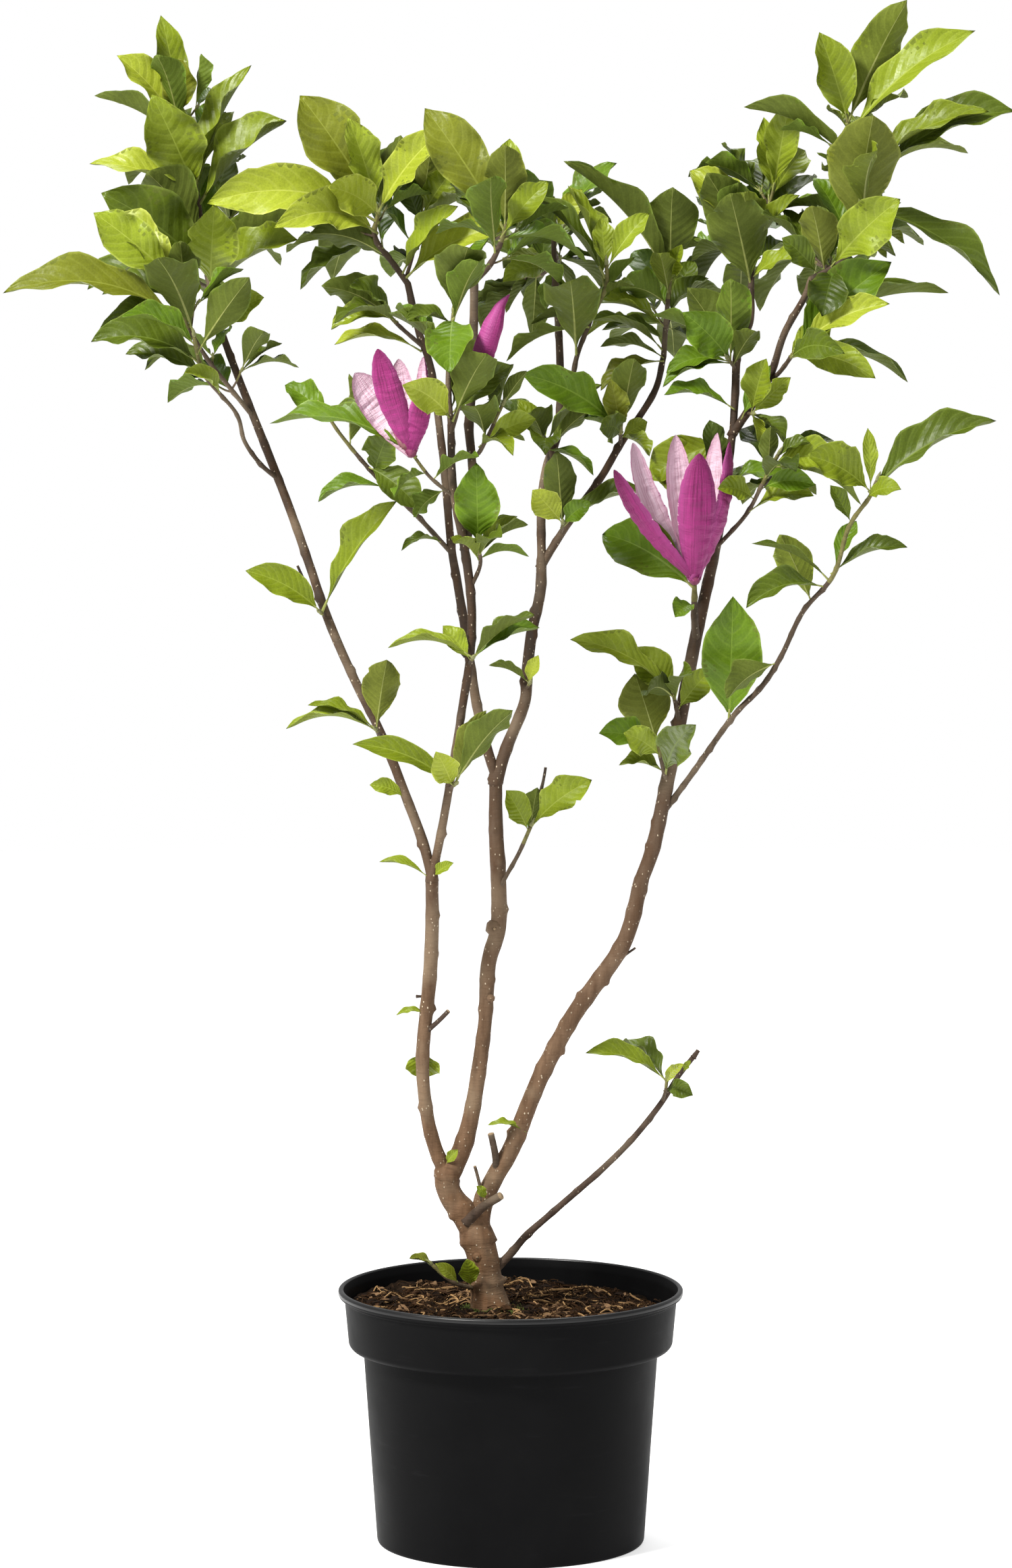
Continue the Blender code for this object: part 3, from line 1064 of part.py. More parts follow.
def grow_bloom_leaves(name, path):
    shapes = []
    for lead in BLOOMS[name].leaves:
        place = lead.station * (len(path) - 1)
        k = min(int(place), len(path) - 2)
        root = path[k].lerp(path[k + 1], place - k)
        reach = Vector(lead.reach) * CM
        shape = try_leaf(root, reach, facing(reach, lead.turn), lead.width, name)
        if shape is not None:
            shapes.append(shape)
    return shapes


def build_bloom(name, path, shapes):
    bloom = BLOOMS[name]
    twig = make_object(name, *tube_shape(path, bloom.radii, 5), petal_magenta)
    cut_clear(twig, (bloom.host,))
    fuse(twig, [make_object("petal", *shape, petal_magenta) for shape in shapes])


def bud_spindle(foot, reach):
    """A closed bud: a spindle that is widest below its middle."""
    path = [foot + reach * share for share in (0.0, 0.18, 0.42, 0.70, 1.0)]
    widths = (0.45, 0.86, 1.0, 0.66, 0.12)
    radii = [BUD_RADIUS / CM * width for width in widths]
    return tube_shape(path, radii, 7)


def grow_bud():
    path = smooth_path(metres(BUD_TWIG), 0.012)
    add_obstacle(*tube_shape(path, BUD_TWIG_RADII, 4), "bloom_bud")
    spindle = bud_spindle(path[-1] - Vector(BUD_REACH) * CM * 0.03, Vector(BUD_REACH) * CM)
    add_obstacle(*spindle, "bloom_bud")
    return path, spindle


def build_bud(path, spindle):
    twig = make_object("bloom_bud", *tube_shape(path, BUD_TWIG_RADII, 4), petal_magenta)
    cut_clear(twig, ("bough_left_inner",))
    fuse(twig, [make_object("spindle", *spindle, petal_magenta)])


clear_scene()
black_plastic = make_material("black_plastic", (0.014, 0.014, 0.015), 0.45)
soil_brown = make_material("soil_brown", (0.050, 0.028, 0.018), 0.95)
bark = make_material("bark", (0.130, 0.085, 0.060), 0.75)
leaf_green = make_material("leaf_green", (0.110, 0.210, 0.030), 0.45)
petal_magenta = make_material("petal_magenta", (0.420, 0.050, 0.240), 0.55)

build_pot()
build_soil()

limb_paths = {}
for limb_name in LIMBS:
    limb_paths[limb_name] = limb_path(limb_name)
    add_obstacle(*limb_tube(limb_name, extra=CLEARANCE), limb_name)
for limb_name in LIMBS:
    build_limb(limb_name)

bloom_parts = {name: grow_bloom(name) for name in BLOOMS}
bud_parts = grow_bud()
growths = [Growth(name, mass) for name, mass in MASSES.items()]
for growth in growths:
    growth.grow_stem()
for growth in growths:
    growth.grow_shoots()
for bloom_name, (twig_path, petal_shapes) in bloom_parts.items():
    petal_shapes.extend(grow_bloom_leaves(bloom_name, twig_path))
for growth in growths:
    growth.grow_leads()
for growth in growths:
    growth.grow_fill()
for growth in growths:
    build_mass(growth)
for bloom_name, (twig_path, petal_shapes) in bloom_parts.items():
    build_bloom(bloom_name, twig_path, petal_shapes)
build_bud(*bud_parts)
for growth in growths:
    print(growth.name, "leaves", len(growth.leaves), "left out", growth.skipped)
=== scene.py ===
"""The finished looks of a potted lily-flowered magnolia shrub.

Metres, +Z up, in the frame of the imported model. The tables that set out the plant, and
the rule by which it grows, follow those of its solids. Here the growth carries wood with
bark relief, curved leaves with stalks and midribs, finer side twigs, buds, tepals with
two faces, and a pot with potting soil. Lengths in the tables are centimetres.
"""
import math
import random
from collections import namedtuple

import bpy
import numpy as np
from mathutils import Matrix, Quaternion, Vector, noise
from mathutils.bvhtree import BVHTree


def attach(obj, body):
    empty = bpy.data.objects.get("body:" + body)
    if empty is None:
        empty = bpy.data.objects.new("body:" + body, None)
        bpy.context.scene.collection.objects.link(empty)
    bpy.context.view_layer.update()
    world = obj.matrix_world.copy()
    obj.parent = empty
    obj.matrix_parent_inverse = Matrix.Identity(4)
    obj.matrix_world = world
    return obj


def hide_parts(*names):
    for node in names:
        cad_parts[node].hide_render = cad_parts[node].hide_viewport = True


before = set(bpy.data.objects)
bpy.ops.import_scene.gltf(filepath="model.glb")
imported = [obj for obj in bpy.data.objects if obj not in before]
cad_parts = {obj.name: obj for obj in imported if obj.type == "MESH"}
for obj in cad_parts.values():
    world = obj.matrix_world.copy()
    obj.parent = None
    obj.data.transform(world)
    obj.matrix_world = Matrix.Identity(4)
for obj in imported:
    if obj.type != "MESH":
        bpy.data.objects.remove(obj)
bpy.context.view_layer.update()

CM = 0.01
GAP = 0.0003
FRONT = Vector((0.0, -1.0, 0.0))
UP = Vector((0.0, 0.0, 1.0))
FULL_WAVE = 6.28
PHASES = (0, FULL_WAVE)

# Pot and soil
POT_RIM_RADIUS = 0.140
POT_HEIGHT = 0.208
POT_BASE_RADIUS = 0.1088
POT_WALL = 0.0018
POT_FLOOR = 0.0045
POT_SIDES = 176
LIP_DEPTH = 0.0040
COLLAR_BOTTOM = 0.160
SOIL_LEVEL = 0.1930
SOIL_RADIUS = POT_RIM_RADIUS - 0.0062 - POT_WALL
SOIL_RINGS = 64
SOIL_SIDES = 190
FOOT = (-1.6, -1.5)
FOOT_CLEAR_RADIUS = 0.024
LITTER_RADIUS = 0.126
CHIPS = 360
FIBRES = 1300
STRAWS = 170
MOSS_TUFTS = 260

# Wood
RING_SPACING = 0.036
BARK_SPACING = 0.0022
TWIG_SPACING = 0.0030
STEM_SIDES = 4
TWIG_SIDES = 3

# Leaves
LEAF_WIDTH_RATIO = 0.42
LONG_LEAF = 0.115
LONG_LEAF_RATIO = 0.30
LEAF_THICKNESS_RATIO = 0.011
LEAF_MIN_THICKNESS = 0.0009
LEAF_BULGE = 0.05
LEAF_SAG = 0.12
LEAF_LIFT = 0.12
PETIOLE_HALF = 0.0010
GOLDEN_ANGLE = math.radians(137.5)
NUDGES = (0.0, -0.012, 0.012, -0.024, 0.024, -0.036, 0.036)
WIDE_NUDGES = (-0.048, -0.060, -0.072, 0.048, -0.084)
CLEARANCE = 0.0006
LEAD_ROWS = 20
LIMB_LEAF_ROWS = 18
FILL_ROWS = 13
LEFT_CROWN_END = -0.085
RIGHT_CROWN_START = 0.10

# Profiles: rows of a share of the length and a share of the half width
LEAF_PROFILE = ((0.0, None), (0.13, 0.10), (0.40, 0.80), (0.70, 0.98))
PLAIN_PROFILE = ((0.0, None), (0.28, 0.52), (0.64, 1.0))
PETAL_PROFILE = ((0.0, 0.30), (0.45, 0.90), (0.78, 1.0))
LEAF_OUTLINE = ((0.08, 0.03), (0.14, 0.11), (0.22, 0.32), (0.32, 0.62), (0.44, 0.87),
                (0.54, 0.99), (0.63, 1.0), (0.73, 0.91), (0.82, 0.71), (0.90, 0.44),
                (0.955, 0.20), (1.0, 0.0))
LEAF_COLUMNS = (-1.0, -0.74, -0.40, -0.1, 0.1, 0.40, 0.74, 1.0)
RIB_COLUMN = 3
STALK_END = 0.10
PETAL_OUTLINE = ((0.0, 0.40), (0.14, 0.62), (0.30, 0.84), (0.48, 0.98), (0.62, 1.0),
                 (0.76, 0.91), (0.87, 0.70), (0.94, 0.46), (0.985, 0.20), (1.0, 0.04))
PETAL_ROWS = 64
PETAL_COLUMNS = 14
PETAL_WRINKLE = 0.0018
BUD_OUTLINE = ((0.0, 0.34), (0.08, 0.62), (0.20, 0.88), (0.38, 1.0), (0.60, 0.86),
               (0.80, 0.55), (0.92, 0.30), (1.0, 0.10))
BUD_ROWS = 34
BUD_SIDES = 48

Limb = namedtuple("Limb", "points radii host sides stubs")
Stub = namedtuple("Stub", "start end radius")
Lead = namedtuple("Lead", "station reach turn width", defaults=(None,))
Shoot = namedtuple("Shoot", "station reach leads fill")
Mass = namedtuple("Mass", "stem leads radii tones fill size seed shoots")
Petal = namedtuple("Petal", "reach width cup turn")
Bloom = namedtuple("Bloom", "stem radii petals leaves")


# Trunk and boughs. A limb's host is the one that carries it.
LIMBS = {
    "trunk": Limb(
        ((-1.6, -1.5, 19.33), (-2, -1.5, 21.5), (-2.2, -1.5, 23.3), (-2.8, -1.2, 25.5)),
        (1.65, 1.34, 1.26, 1.28, 1.36), None, 9, ()),
    "fork_left": Limb(
        ((-2.8, -1.2, 25.5), (-3.7, -1.2, 27), (-4.9, -1.1, 28.7), (-5.3, -1, 30.4)),
        (1.25, 1, 0.92), "trunk", 7, (Stub((-3.6, -2, 26.5), (-0.8, -3.9, 29), 0.38),)),
    "bough_left_lower": Limb(
        ((-5.3, -1, 30.4), (-6.2, -1.3, 32.8), (-6.8, -1.7, 35.6), (-7.1, -2, 40),
         (-6.5, -2.5, 46.5), (-6.3, -3.5, 51), (-6.3, -5, 55)),
        (0.6, 0.52, 0.55, 0.56, 0.5), "fork_left", 7,
        (Stub((-6.9, -2.2, 42), (-5, -3.2, 43.9), 0.2),)),
    "bough_left_upper": Limb(
        ((-6.3, -5, 55), (-7, -4.9, 57.7), (-8.3, -4.6, 61.2), (-10.2, -4, 66), (-12.5, -3, 70.6),
         (-14.6, -2, 75.3), (-16.3, 0, 80), (-18, 1.5, 84.6), (-19.8, 3, 89), (-21.5, 4, 93.2),
         (-23.2, 5, 97.6), (-24, 5.5, 100)),
        (0.42, 0.36, 0.36, 0.34, 0.27), "bough_left_lower", 6, ()),
    "bough_left_inner": Limb(
        ((-6.3, -5, 55), (-5.6, -5.8, 58.3), (-4.6, -7, 64), (-3.8, -8, 69), (-3.2, -9, 73),
         (-3.1, -9.5, 77), (-3.6, -10, 81.3), (-4.5, -11, 86.2), (-4.7, -11.5, 91.3)),
        (0.34, 0.32, 0.36, 0.28), "bough_left_lower", 6, ()),
    "bough_centre": Limb(
        ((-3.6, -10, 81.7), (-2.9, -9, 85), (-3.1, -8, 88.7), (-3.3, -7.5, 91.2), (-3, -7, 94.7),
         (-2.9, -6, 100.8), (-2.9, -5.5, 102.3)),
        (0.3, 0.36, 0.32), "bough_left_inner", 6, ()),
    "bough_middle": Limb(
        ((-5.2, -1, 30), (-3.9, -0.8, 32.4), (-3, -0.4, 36), (-2.1, 0, 42.3), (-1.8, 0, 47.2),
         (-1, 0.2, 50.3), (-1, 0.5, 54.4), (-1.2, 0.8, 58.4), (-1.2, 1, 62.4)),
        (0.8, 0.64, 0.56, 0.64, 0.62, 0.5), "fork_left", 7, ()),
    "bough_middle_left": Limb(
        ((-1.2, 1, 62.4), (-2, 1, 65), (-2.8, 1.5, 68.5), (-3.6, 2, 73.7), (-4.3, 2, 78),
         (-4.8, 2, 81), (-5.2, 2.5, 85.4), (-5.6, 3, 89.3), (-6.4, 4, 95), (-7.4, 4.5, 98),
         (-8.3, 5, 101.9)),
        (0.42, 0.38, 0.32, 0.3, 0.27), "bough_middle", 6, ()),
    "bough_middle_right": Limb(
        ((-1.2, 1, 62), (-0.3, 1, 64.8), (1.1, 2, 68.2), (1.3, 2.5, 70.4), (1.7, 3.5, 73.8),
         (2.4, 4.6, 77), (2.5, 5.2, 79.6)),
        (0.46, 0.46, 0.42), "bough_middle", 7, ()),
    "bough_back": Limb(
        ((2.5, 5.2, 79.6), (2.5, 6, 84), (2.9, 6.6, 87), (3.9, 7.5, 90.2), (4, 8, 95.8),
         (3.6, 9, 102.6)),
        (0.36, 0.34, 0.26), "bough_middle_right", 6, ()),
    "bough_centre_right": Limb(
        ((2.5, 5.2, 79.2), (4.9, 5.6, 82.9), (7.3, 6, 86.2), (8.9, 6.3, 88.9), (11.6, 7, 93),
         (12.4, 7, 96)),
        (0.3, 0.3, 0.24), "bough_middle_right", 6, ()),
    "bough_right_lower": Limb(
        ((-2.8, -1.2, 25), (-2.2, -1, 28), (-1.2, -1, 30.2), (0.1, -1.2, 32.5), (1.6, -1.6, 36.4),
         (2.9, -2, 39.4), (5.2, -2.7, 43.7), (8.3, -3, 48.1), (9.5, -3, 50.5), (10.5, -2.3, 54.4)),
        (0.8, 0.72, 0.68, 0.66, 0.6), "trunk", 7,
        (Stub((-1.1, -1.1, 30.4), (-1.6, -2.3, 33.8), 0.3),)),
    "bough_right_upper": Limb(
        ((10.5, -2.3, 54.4), (11.5, -1.8, 57.2), (12.7, -1, 62.8), (13.7, 0, 67.4), (14.5, 0, 71.8),
         (15.2, 0.4, 75.2), (16.3, 1.4, 80), (17.1, 2, 84.4), (17.9, 2.8, 90.3)),
        (0.58, 0.56, 0.52, 0.42, 0.3), "bough_right_lower", 7, ()),
    "bough_right_inner": Limb(
        ((17.9, 2.8, 90.3), (18.1, 3.5, 93.3), (18.3, 4.3, 96.4), (19.3, 5, 98.9),
         (19.4, 5.6, 101.4)),
        (0.3, 0.33, 0.28), "bough_right_upper", 6, ()),
    "bough_right_outer": Limb(
        ((17.9, 2.8, 90), (19.4, 2.5, 92.2), (20.8, 1.8, 94.5), (21.9, 1, 98), (23.4, 0.2, 100.8),
         (24, 0, 102.4)),
        (0.3, 0.29, 0.26), "bough_right_upper", 6, ()),
    "branch_low": Limb(
        ((-1.8, -1.5, 22), (-0.1, -1.2, 23.7), (1.2, -1, 25.2), (2.8, -0.8, 26.6),
         (5.5, -0.4, 28.9), (7.5, 0, 30.6), (9.9, 0.2, 33), (12.1, 0.6, 35.7), (13.6, 1, 38),
         (15, 1, 39.8)),
        (0.34, 0.27, 0.26, 0.24, 0.2), "trunk", 6, ()),
}

# Foliage. A row of a lead leaf is its station along the stem or shoot, its reach from root
# to tip, its turn and, where it isn't the usual one, its width as a share of its length.
# Turn 0 shows the upper side to the front, 90 has the upper side up, and 180 shows the
# underside to the front. The letters are the tones of the lead leaves, the stem's first.
# The tones of the lead leaves are partly their age and partly painted light and shade: lighter
# where light falls, darker in shade.
MASSES = {
    "left_top": Mass(
        ((-24, 5.5, 100), (-24.6, 6.4, 103.3), (-25.4, 7.3, 109), (-27, 8, 115.5)),
        ((1, (-1.2, -1, 8.4), 25, 0.3), (0.98, (0.3, -2, 5), 10, 0.55), (0.92, (-5, 0, 6), 40),
         (0.82, (-7.5, 1, 4.2), 110, 0.3), (0.6, (-3.2, -4, 7.6), 5, 0.52),
         (0.62, (4.5, 1, 9.9), 60, 0.26), (0.52, (7.1, -1, 7), 60), (0.6, (2.7, 3, 6.7), 50),
         (0.52, (-8.9, 1, 3.4), 60, 0.3), (0.34, (-4.4, -3, 5.6), 160, 0.56),
         (0.12, (7.7, -1, 6.3), 140), (0.08, (7.1, -3, 4.3), 60), (0.26, (4, 3, 1), 90),
         (0.16, (-8, -5, 6.8), 20, 0.46), (0.1, (0.6, -5.5, 6.6), 0, 0.5)),
        (0.26, 0.18), "foymffffymmffml", 4, 8, 11,
        (Shoot(0.3, (0.5, 7.5, 3.5), (), 5), Shoot(0.1, (-2.5, 7, 2), (), 5),
         Shoot(0.62, (-2, 5.5, 2), (), 4))),
    "left_front": Mass(
        ((-20.7, 3.6, 91.2), (-22.8, 1.5, 94), (-24.2, 0.5, 95.9), (-25.9, -1, 98.9),
         (-26, -1.3, 100.7), (-26.1, -1.6, 102)),
        ((0.74, (-14.4, -3, 3.2), 50, 0.25), (0.66, (-2.4, -5, 6.4), 170, 0.5),
         (0.86, (-6.8, 0.5, 1), 50, 0.42), (0.97, (-7, -1.5, 6.1), 0, 0.4),
         (0.94, (-6.5, 1.5, 6.5), 40), (0.7, (-7.3, -1.5, 0.4), 60)),
        (0.2, 0.17, 0.15), "ommlym", 2, 7, 12, ()),
    "left_low": Mass(
        ((-18.7, 2.1, 86.3), (-20.1, 1, 87.6), (-21.3, -0.6, 89.5), (-21.9, -2, 91.8),
         (-24.2, -4, 94.7), (-24.8, -5, 96.5), (-25, -6, 98)),
        ((0.84, (-8.5, -1, 1.8), 45, 0.4), (0.94, (-5.6, -3, 2.6), 60, 0.36),
         (0.9, (4.2, -1.5, 6), 170), (0.72, (-6.8, 1, 2), 50, 0.38), (0.62, (-2.4, -2, 2), 50)),
        (0.19, 0.16, 0.15), "mgmml", 1, 7, 13, ()),
    "centre_left": Mass(
        ((-8.3, 5, 101.9), (-9.3, 5, 103.3), (-10.9, 4.5, 105.6), (-10.6, 4, 107.8)),
        ((0.85, (-13.3, -4, 1.8), 20), (1, (-6.2, -1, 9.4), 10, 0.46),
         (0.97, (-2.4, -3, 7.6), 20, 0.36), (0.99, (5.4, -5, 6.9), 30, 0.3),
         (0.93, (-4, -5, 2.4), 10, 0.5), (0.72, (-7.8, -8, 0.6), 25, 0.3),
         (0.12, (4.6, -3, 5.6), 60, 0.34), (0.06, (8.5, -6, 4.3), 40, 0.36),
         (0.18, (-6.2, -3, 4.8), 120, 0.34), (0.35, (-6.4, -1, 2.2), 150),
         (0.3, (-8.1, 1, 1.5), 110, 0.34)),
        (0.26, 0.17), "yolyyylymdmofd", 3, 8.5, 14,
        (Shoot(0.05, (1.3, 2, 5.2), ((1, (0.8, -1, 5.4), 170), (0.95, (3.1, -3, 4.5), 10),
         (0.9, (-1.6, 1, 4.2), 0)), 3), Shoot(0.45, (-3.5, 7, 2.5), (), 5))),
    "left_mid": Mass(
        ((-7, 4.3, 96.8), (-9, 3, 98.6), (-9.8, 2.5, 99.5)),
        ((0.8, (-5.9, -2, 3), 150, 0.46), (0.85, (-5, -1, -0.6), 40, 0.4),
         (0.98, (-3, -4, 2.5), 60)),
        (0.18, 0.15), "mlm", 1, 7, 15, ()),
    "centre_front": Mass(
        ((-4.7, -11.5, 91.3), (-4.9, -11.4, 95), (-4.5, -11, 100)),
        ((0.05, (-3.7, -2.5, 2.9), 10, 0.52), (0.12, (2.8, -3.5, 5.6), 165, 0.55),
         (0.08, (4.8, 0.5, 4), 20), (1, (1.2, -6, 5.4), 170, 0.52),
         (0.95, (-0.2, -5.5, -3.9), 10, 0.56), (0.9, (-3.6, -1, 0.4), 60)),
        (0.26, 0.15), "ymmmgm", 2, 7, 16, ()),
    "centre": Mass(
        ((-2.9, -5.5, 102.3), (-1.6, -5, 103.7), (-0.7, -4.5, 105.6), (-0.4, -4.3, 106.8)),
        ((0.98, (0, -3, 6.4), 175, 0.48), (0.92, (-6.2, -1, 9.6), 10, 0.38),
         (0.95, (0.4, 2, 7), 0, 0.36), (0.8, (3.6, 1, 4.4), 20)),
        (0.27, 0.17), "oolf", 3, 7.5, 17,
        (Shoot(0.8, (-1, 6.5, 0.5), (), 5),)),
    "centre_low": Mass(
        ((-3, -8, 88.6), (-2.3, -9.3, 89.3), (-0.7, -10, 92.7)),
        ((1, (2, -1, 3), 160, 0.34), (0.35, (4.2, -1.2, 1.9), 10, 0.44),
         (0.45, (-0.9, -4.5, 2.8), 165, 0.62), (0.3, (3.4, 1.4, 0.4), 100),
         (0.25, (2.6, -3, -0.4), 70)),
        (0.17, 0.13), "mlmmf", 1, 6, 18, ()),
    "inner_low": Mass(
        ((-3.1, -9.6, 78.5), (-2.4, -10.6, 80.3), (-2.6, -11.2, 82)),
        ((1, (-0.1, -1.5, 6.5), 0, 0.54), (0.6, (-2, -4, 1.8), 120), (0.7, (1.8, -4.2, 1.9), 110),
         (0.8, (3.1, -1, 2.8), 50, 0.36), (0.75, (3.9, 1, 2.2), 110),
         (0.65, (3.9, -0.5, 0.4), 100, 0.34)),
        (0.17, 0.14), "gfmfmg", 0, 6, 19, ()),
    "left_inner": Mass(
        ((-4.8, 2, 80.4), (-7.5, 1, 83.4), (-10.5, -1, 86.4), (-13.4, -2.5, 89.9),
         (-14.9, -3.2, 92.2)),
        ((0.47, (-5.6, -1, -0.9), 60, 0.3), (0.58, (1.4, -3, 3.8), 10, 0.56),
         (0.63, (4.2, -2.5, -3.2), 20, 0.5), (0.92, (-3.8, 0, 2.9), 20, 0.5),
         (0.97, (3.4, -2.5, -0.6), 60), (0.06, (-3.3, -2, -0.2), 75, 0.26)),
        (0.2, 0.18, 0.13), "gmmgmm", 1, 6, 20, ()),
    "left_tuft": Mass(
        ((-10.3, -4, 66), (-10.7, -5.7, 66.8)),
        ((1, (0.8, -1, 5.8), 170, 0.54), (0.85, (-5.5, -0.5, 2.1), 70, 0.24),
         (0.7, (-7.2, -1.6, 0.8), 75, 0.24)),
        (0.18, 0.14), "ofl", 0, 6, 21, ()),
    "left_pair": Mass(
        ((-14.8, -1.9, 75.6), (-15.2, -3.1, 76)),
        ((1, (-5.9, -1, 3.4), 30, 0.4), (0.7, (6, -2.3, 9.1), 50, 0.25)),
        (0.17, 0.14), "ff", 0, 6, 22, ()),
    "inner_tuft": Mass(
        ((-3.3, -8.9, 72.3), (-3, -10.3, 72.9)),
        ((1, (-6.6, -0.5, 1.2), 80, 0.24), (0.85, (4.9, -1.2, 3.6), 100, 0.42),
         (0.7, (5.4, -2.6, 2.4), 50, 0.34), (0.5, (-2.2, -2.2, 2.8), 10, 0.5)),
        (0.17, 0.14), "lmgl", 0, 6, 23, ()),
    "inner_lower": Mass(
        ((-4.9, -6.6, 62.2), (-4.4, -8, 62.7)),
        ((1, (2.4, -1, 6.1), 165, 0.34), (0.9, (4.6, -2.4, 6.3), 150, 0.36),
         (0.7, (-8, -1.5, 3.4), 35, 0.24), (0.5, (-1.2, -2, 3), 10, 0.62)),
        (0.17, 0.14), "omfy", 0, 6, 24, ()),
    "middle_low": Mass(
        ((-1, 0.4, 53.2), (-0.2, -0.7, 54.8), (0.7, -1.2, 56.5), (1.6, -1.6, 58.6)),
        ((1, (4.9, -1, 4.1), 30, 0.44), (0.93, (-1.8, -1.6, 3.5), 20, 0.54),
         (0.97, (0.6, -1.6, 3.4), 165, 0.52), (0.85, (1.8, 2.4, 3.4), 30, 0.4)),
        (0.18, 0.16), "lfmg", 0, 5, 25, ()),
    "middle_right": Mass(
        ((1.2, 2.3, 69.3), (1.5, 1.1, 69.9)),
        ((1, (-3.2, -1, 1.7), 100, 0.3), (0.7, (0.8, -0.6, 2.5), 30, 0.44)),
        (0.15, 0.13), "my", 0, 5, 26, ()),
    "middle_upper": Mass(
        ((4.1, 5.5, 81.7), (4.2, 4, 82.6)),
        ((1, (-2.4, -2, 2.8), 0, 0.6), (0.85, (2.2, -2, 2), 15, 0.5),
         (0.6, (7, 1.2, 3.2), 60, 0.3)),
        (0.16, 0.13), "ygm", 1, 6, 27, ()),
    "back_low": Mass(
        ((2.9, 6.6, 87), (3, 5.1, 87.9), (2.8, 4, 89.2)),
        ((1, (-1.3, -3, 2.7), 165, 0.7), (0.85, (-2.2, -2, 3.8), 20, 0.46),
         (0.7, (3.9, -2, -1.8), 70, 0.3), (0.55, (3.6, -1, 3.8), 150, 0.36),
         (0.9, (4.4, 1, 5), 80, 0.34), (0.8, (-4.6, 1, 4), 60, 0.4)),
        (0.17, 0.14), "mfgmmd", 1, 6.5, 28,
        (Shoot(0.1, (1.5, 6, 3.5), (), 4),)),
    "centre_right_low": Mass(
        ((8.9, 6.3, 88.9), (8.9, 4.9, 90)),
        ((1, (-8.1, -5, 4.9), 20, 0.31), (0.55, (-3, -1, 1.7), 100),
         (0.9, (-0.9, -1.6, 4.5), 10, 0.44), (0.7, (0.6, -1, 3), 60, 0.5),
         (0.8, (-1.8, -3.2, 0.6), 0, 0.72), (0.4, (2.2, 1.6, 1.4), 0, 0.6),
         (0.6, (2.3, -2.6, -1.3), 60)),
        (0.19, 0.15), "ggommlf", 1, 6.5, 29,
        (Shoot(0.2, (2, 7, 2), (), 4),)),
    "centre_right": Mass(
        ((12.4, 7, 96), (12.6, 7, 99), (12.9, 6.5, 102.4)),
        ((1, (0.1, -2, 7.6), 175, 0.58), (0.95, (0.9, -2.6, 3), 20),
         (0.97, (-8.6, -1, 9.6), 110, 0.26), (0.65, (-3.9, -3, 1.4), 150, 0.6),
         (0.35, (-6, -3.6, 2.2), 70, 0.34), (0.05, (-6, -3, 2.8), 90, 0.22),
         (0.2, (-5.1, -1, 0.8), 60, 0.36), (0.5, (3.5, 2, 3), 60)),
        (0.24, 0.16), "mfmglmmm", 1, 7, 30,
        (Shoot(0.3, (0.5, 7, 1.5), (), 5),)),
    "centre_mid": Mass(
        ((3.3, 7.1, 88.6), (4.7, 6, 91.4), (5.2, 5, 95.5), (6.2, 4.5, 98.4), (7, 4, 100.2),
         (7.7, 3.5, 101.8), (7.7, 3.4, 103.4)),
        ((0.5, (-0.6, -4.5, 6.2), 175, 0.62), (1, (-0.4, 0.5, 4.3), 10, 0.44),
         (0.98, (3.4, 1, 4.7), 30, 0.36), (0.84, (2.6, -1, 1), 90), (0.94, (-6, 0, 6.8), 70, 0.26),
         (0.9, (-2.7, 2.4, 8), 60, 0.26), (0.66, (-4.6, -2.6, 0.6), 100, 0.34),
         (0.6, (3.6, -3, 1.6), 100, 0.36)),
        (0.24, 0.2, 0.16), "mllmmfdl", 1, 6.5, 31, ()),
    "back": Mass(
        ((3.6, 9, 102.6), (3.5, 9.5, 104.6), (3.6, 10, 106.2)),
        ((0.05, (-4.1, -3, -0.6), 30, 0.46), (0.15, (-3.9, 0, 0.8), 90, 0.36),
         (1, (2.2, -1, 3.4), 0, 0.46), (0.95, (-1.8, -1, 3.8), 20, 0.44)),
        (0.24, 0.16), "lfyf", 3, 7.5, 32,
        (Shoot(0.2, (-2.5, 6.5, -1), (), 5), Shoot(0.5, (0.5, 6.5, -0.5), (), 5))),
    "right_inner": Mass(
        ((19.4, 5.6, 101.4), (19.5, 5.8, 103.4), (19.8, 6, 106)),
        ((0.05, (-1.9, -4.5, 7.6), 175, 0.56), (0.55, (-3.8, -1.6, 7), 170, 0.5),
         (0.85, (-5.2, 0.5, 5.6), 20, 0.44), (0.7, (3.6, -2, 4.4), 60, 0.3),
         (0.2, (4, -3, 1.6), 50, 0.36)),
        (0.27, 0.17), "mmyflllf", 2, 8.5, 33,
        (Shoot(0.7, (1.6, 1, 4.8), ((1, (-0.8, -0.8, 6), 5, 0.34),
         (0.97, (1.2, -1.4, 7.2), 5, 0.38), (0.8, (3.1, 2, 4.2), 10, 0.42)), 1),
         Shoot(0.3, (-1, 7, 2.5), (), 5))),
    "right_inner_low": Mass(
        ((18.2, 4, 95), (17.5, 2.7, 95.9)),
        ((1, (-6.2, -1.2, 3.6), 110, 0.42), (0.85, (-3.7, -3, 3.9), 10, 0.58),
         (0.7, (-5.2, -1, -0.6), 40, 0.36), (0.55, (-3.4, 1, 6.2), 150, 0.46),
         (0.4, (1.6, -3.4, 3), 170, 0.44), (0.6, (-5.6, -2.4, -1.6), 50, 0.36)),
        (0.16, 0.13), "gggmmg", 1, 7, 34, ()),
    "right_top": Mass(
        ((24, 0, 102.4), (26.4, 0, 103.8), (27.4, 0.5, 105.8), (28.6, 1, 109), (30, 1.5, 112.2)),
        ((0.88, (10.7, -2, 4.9), 45, 0.32), (0.62, (10.8, -3, -6.6), 50, 0.24),
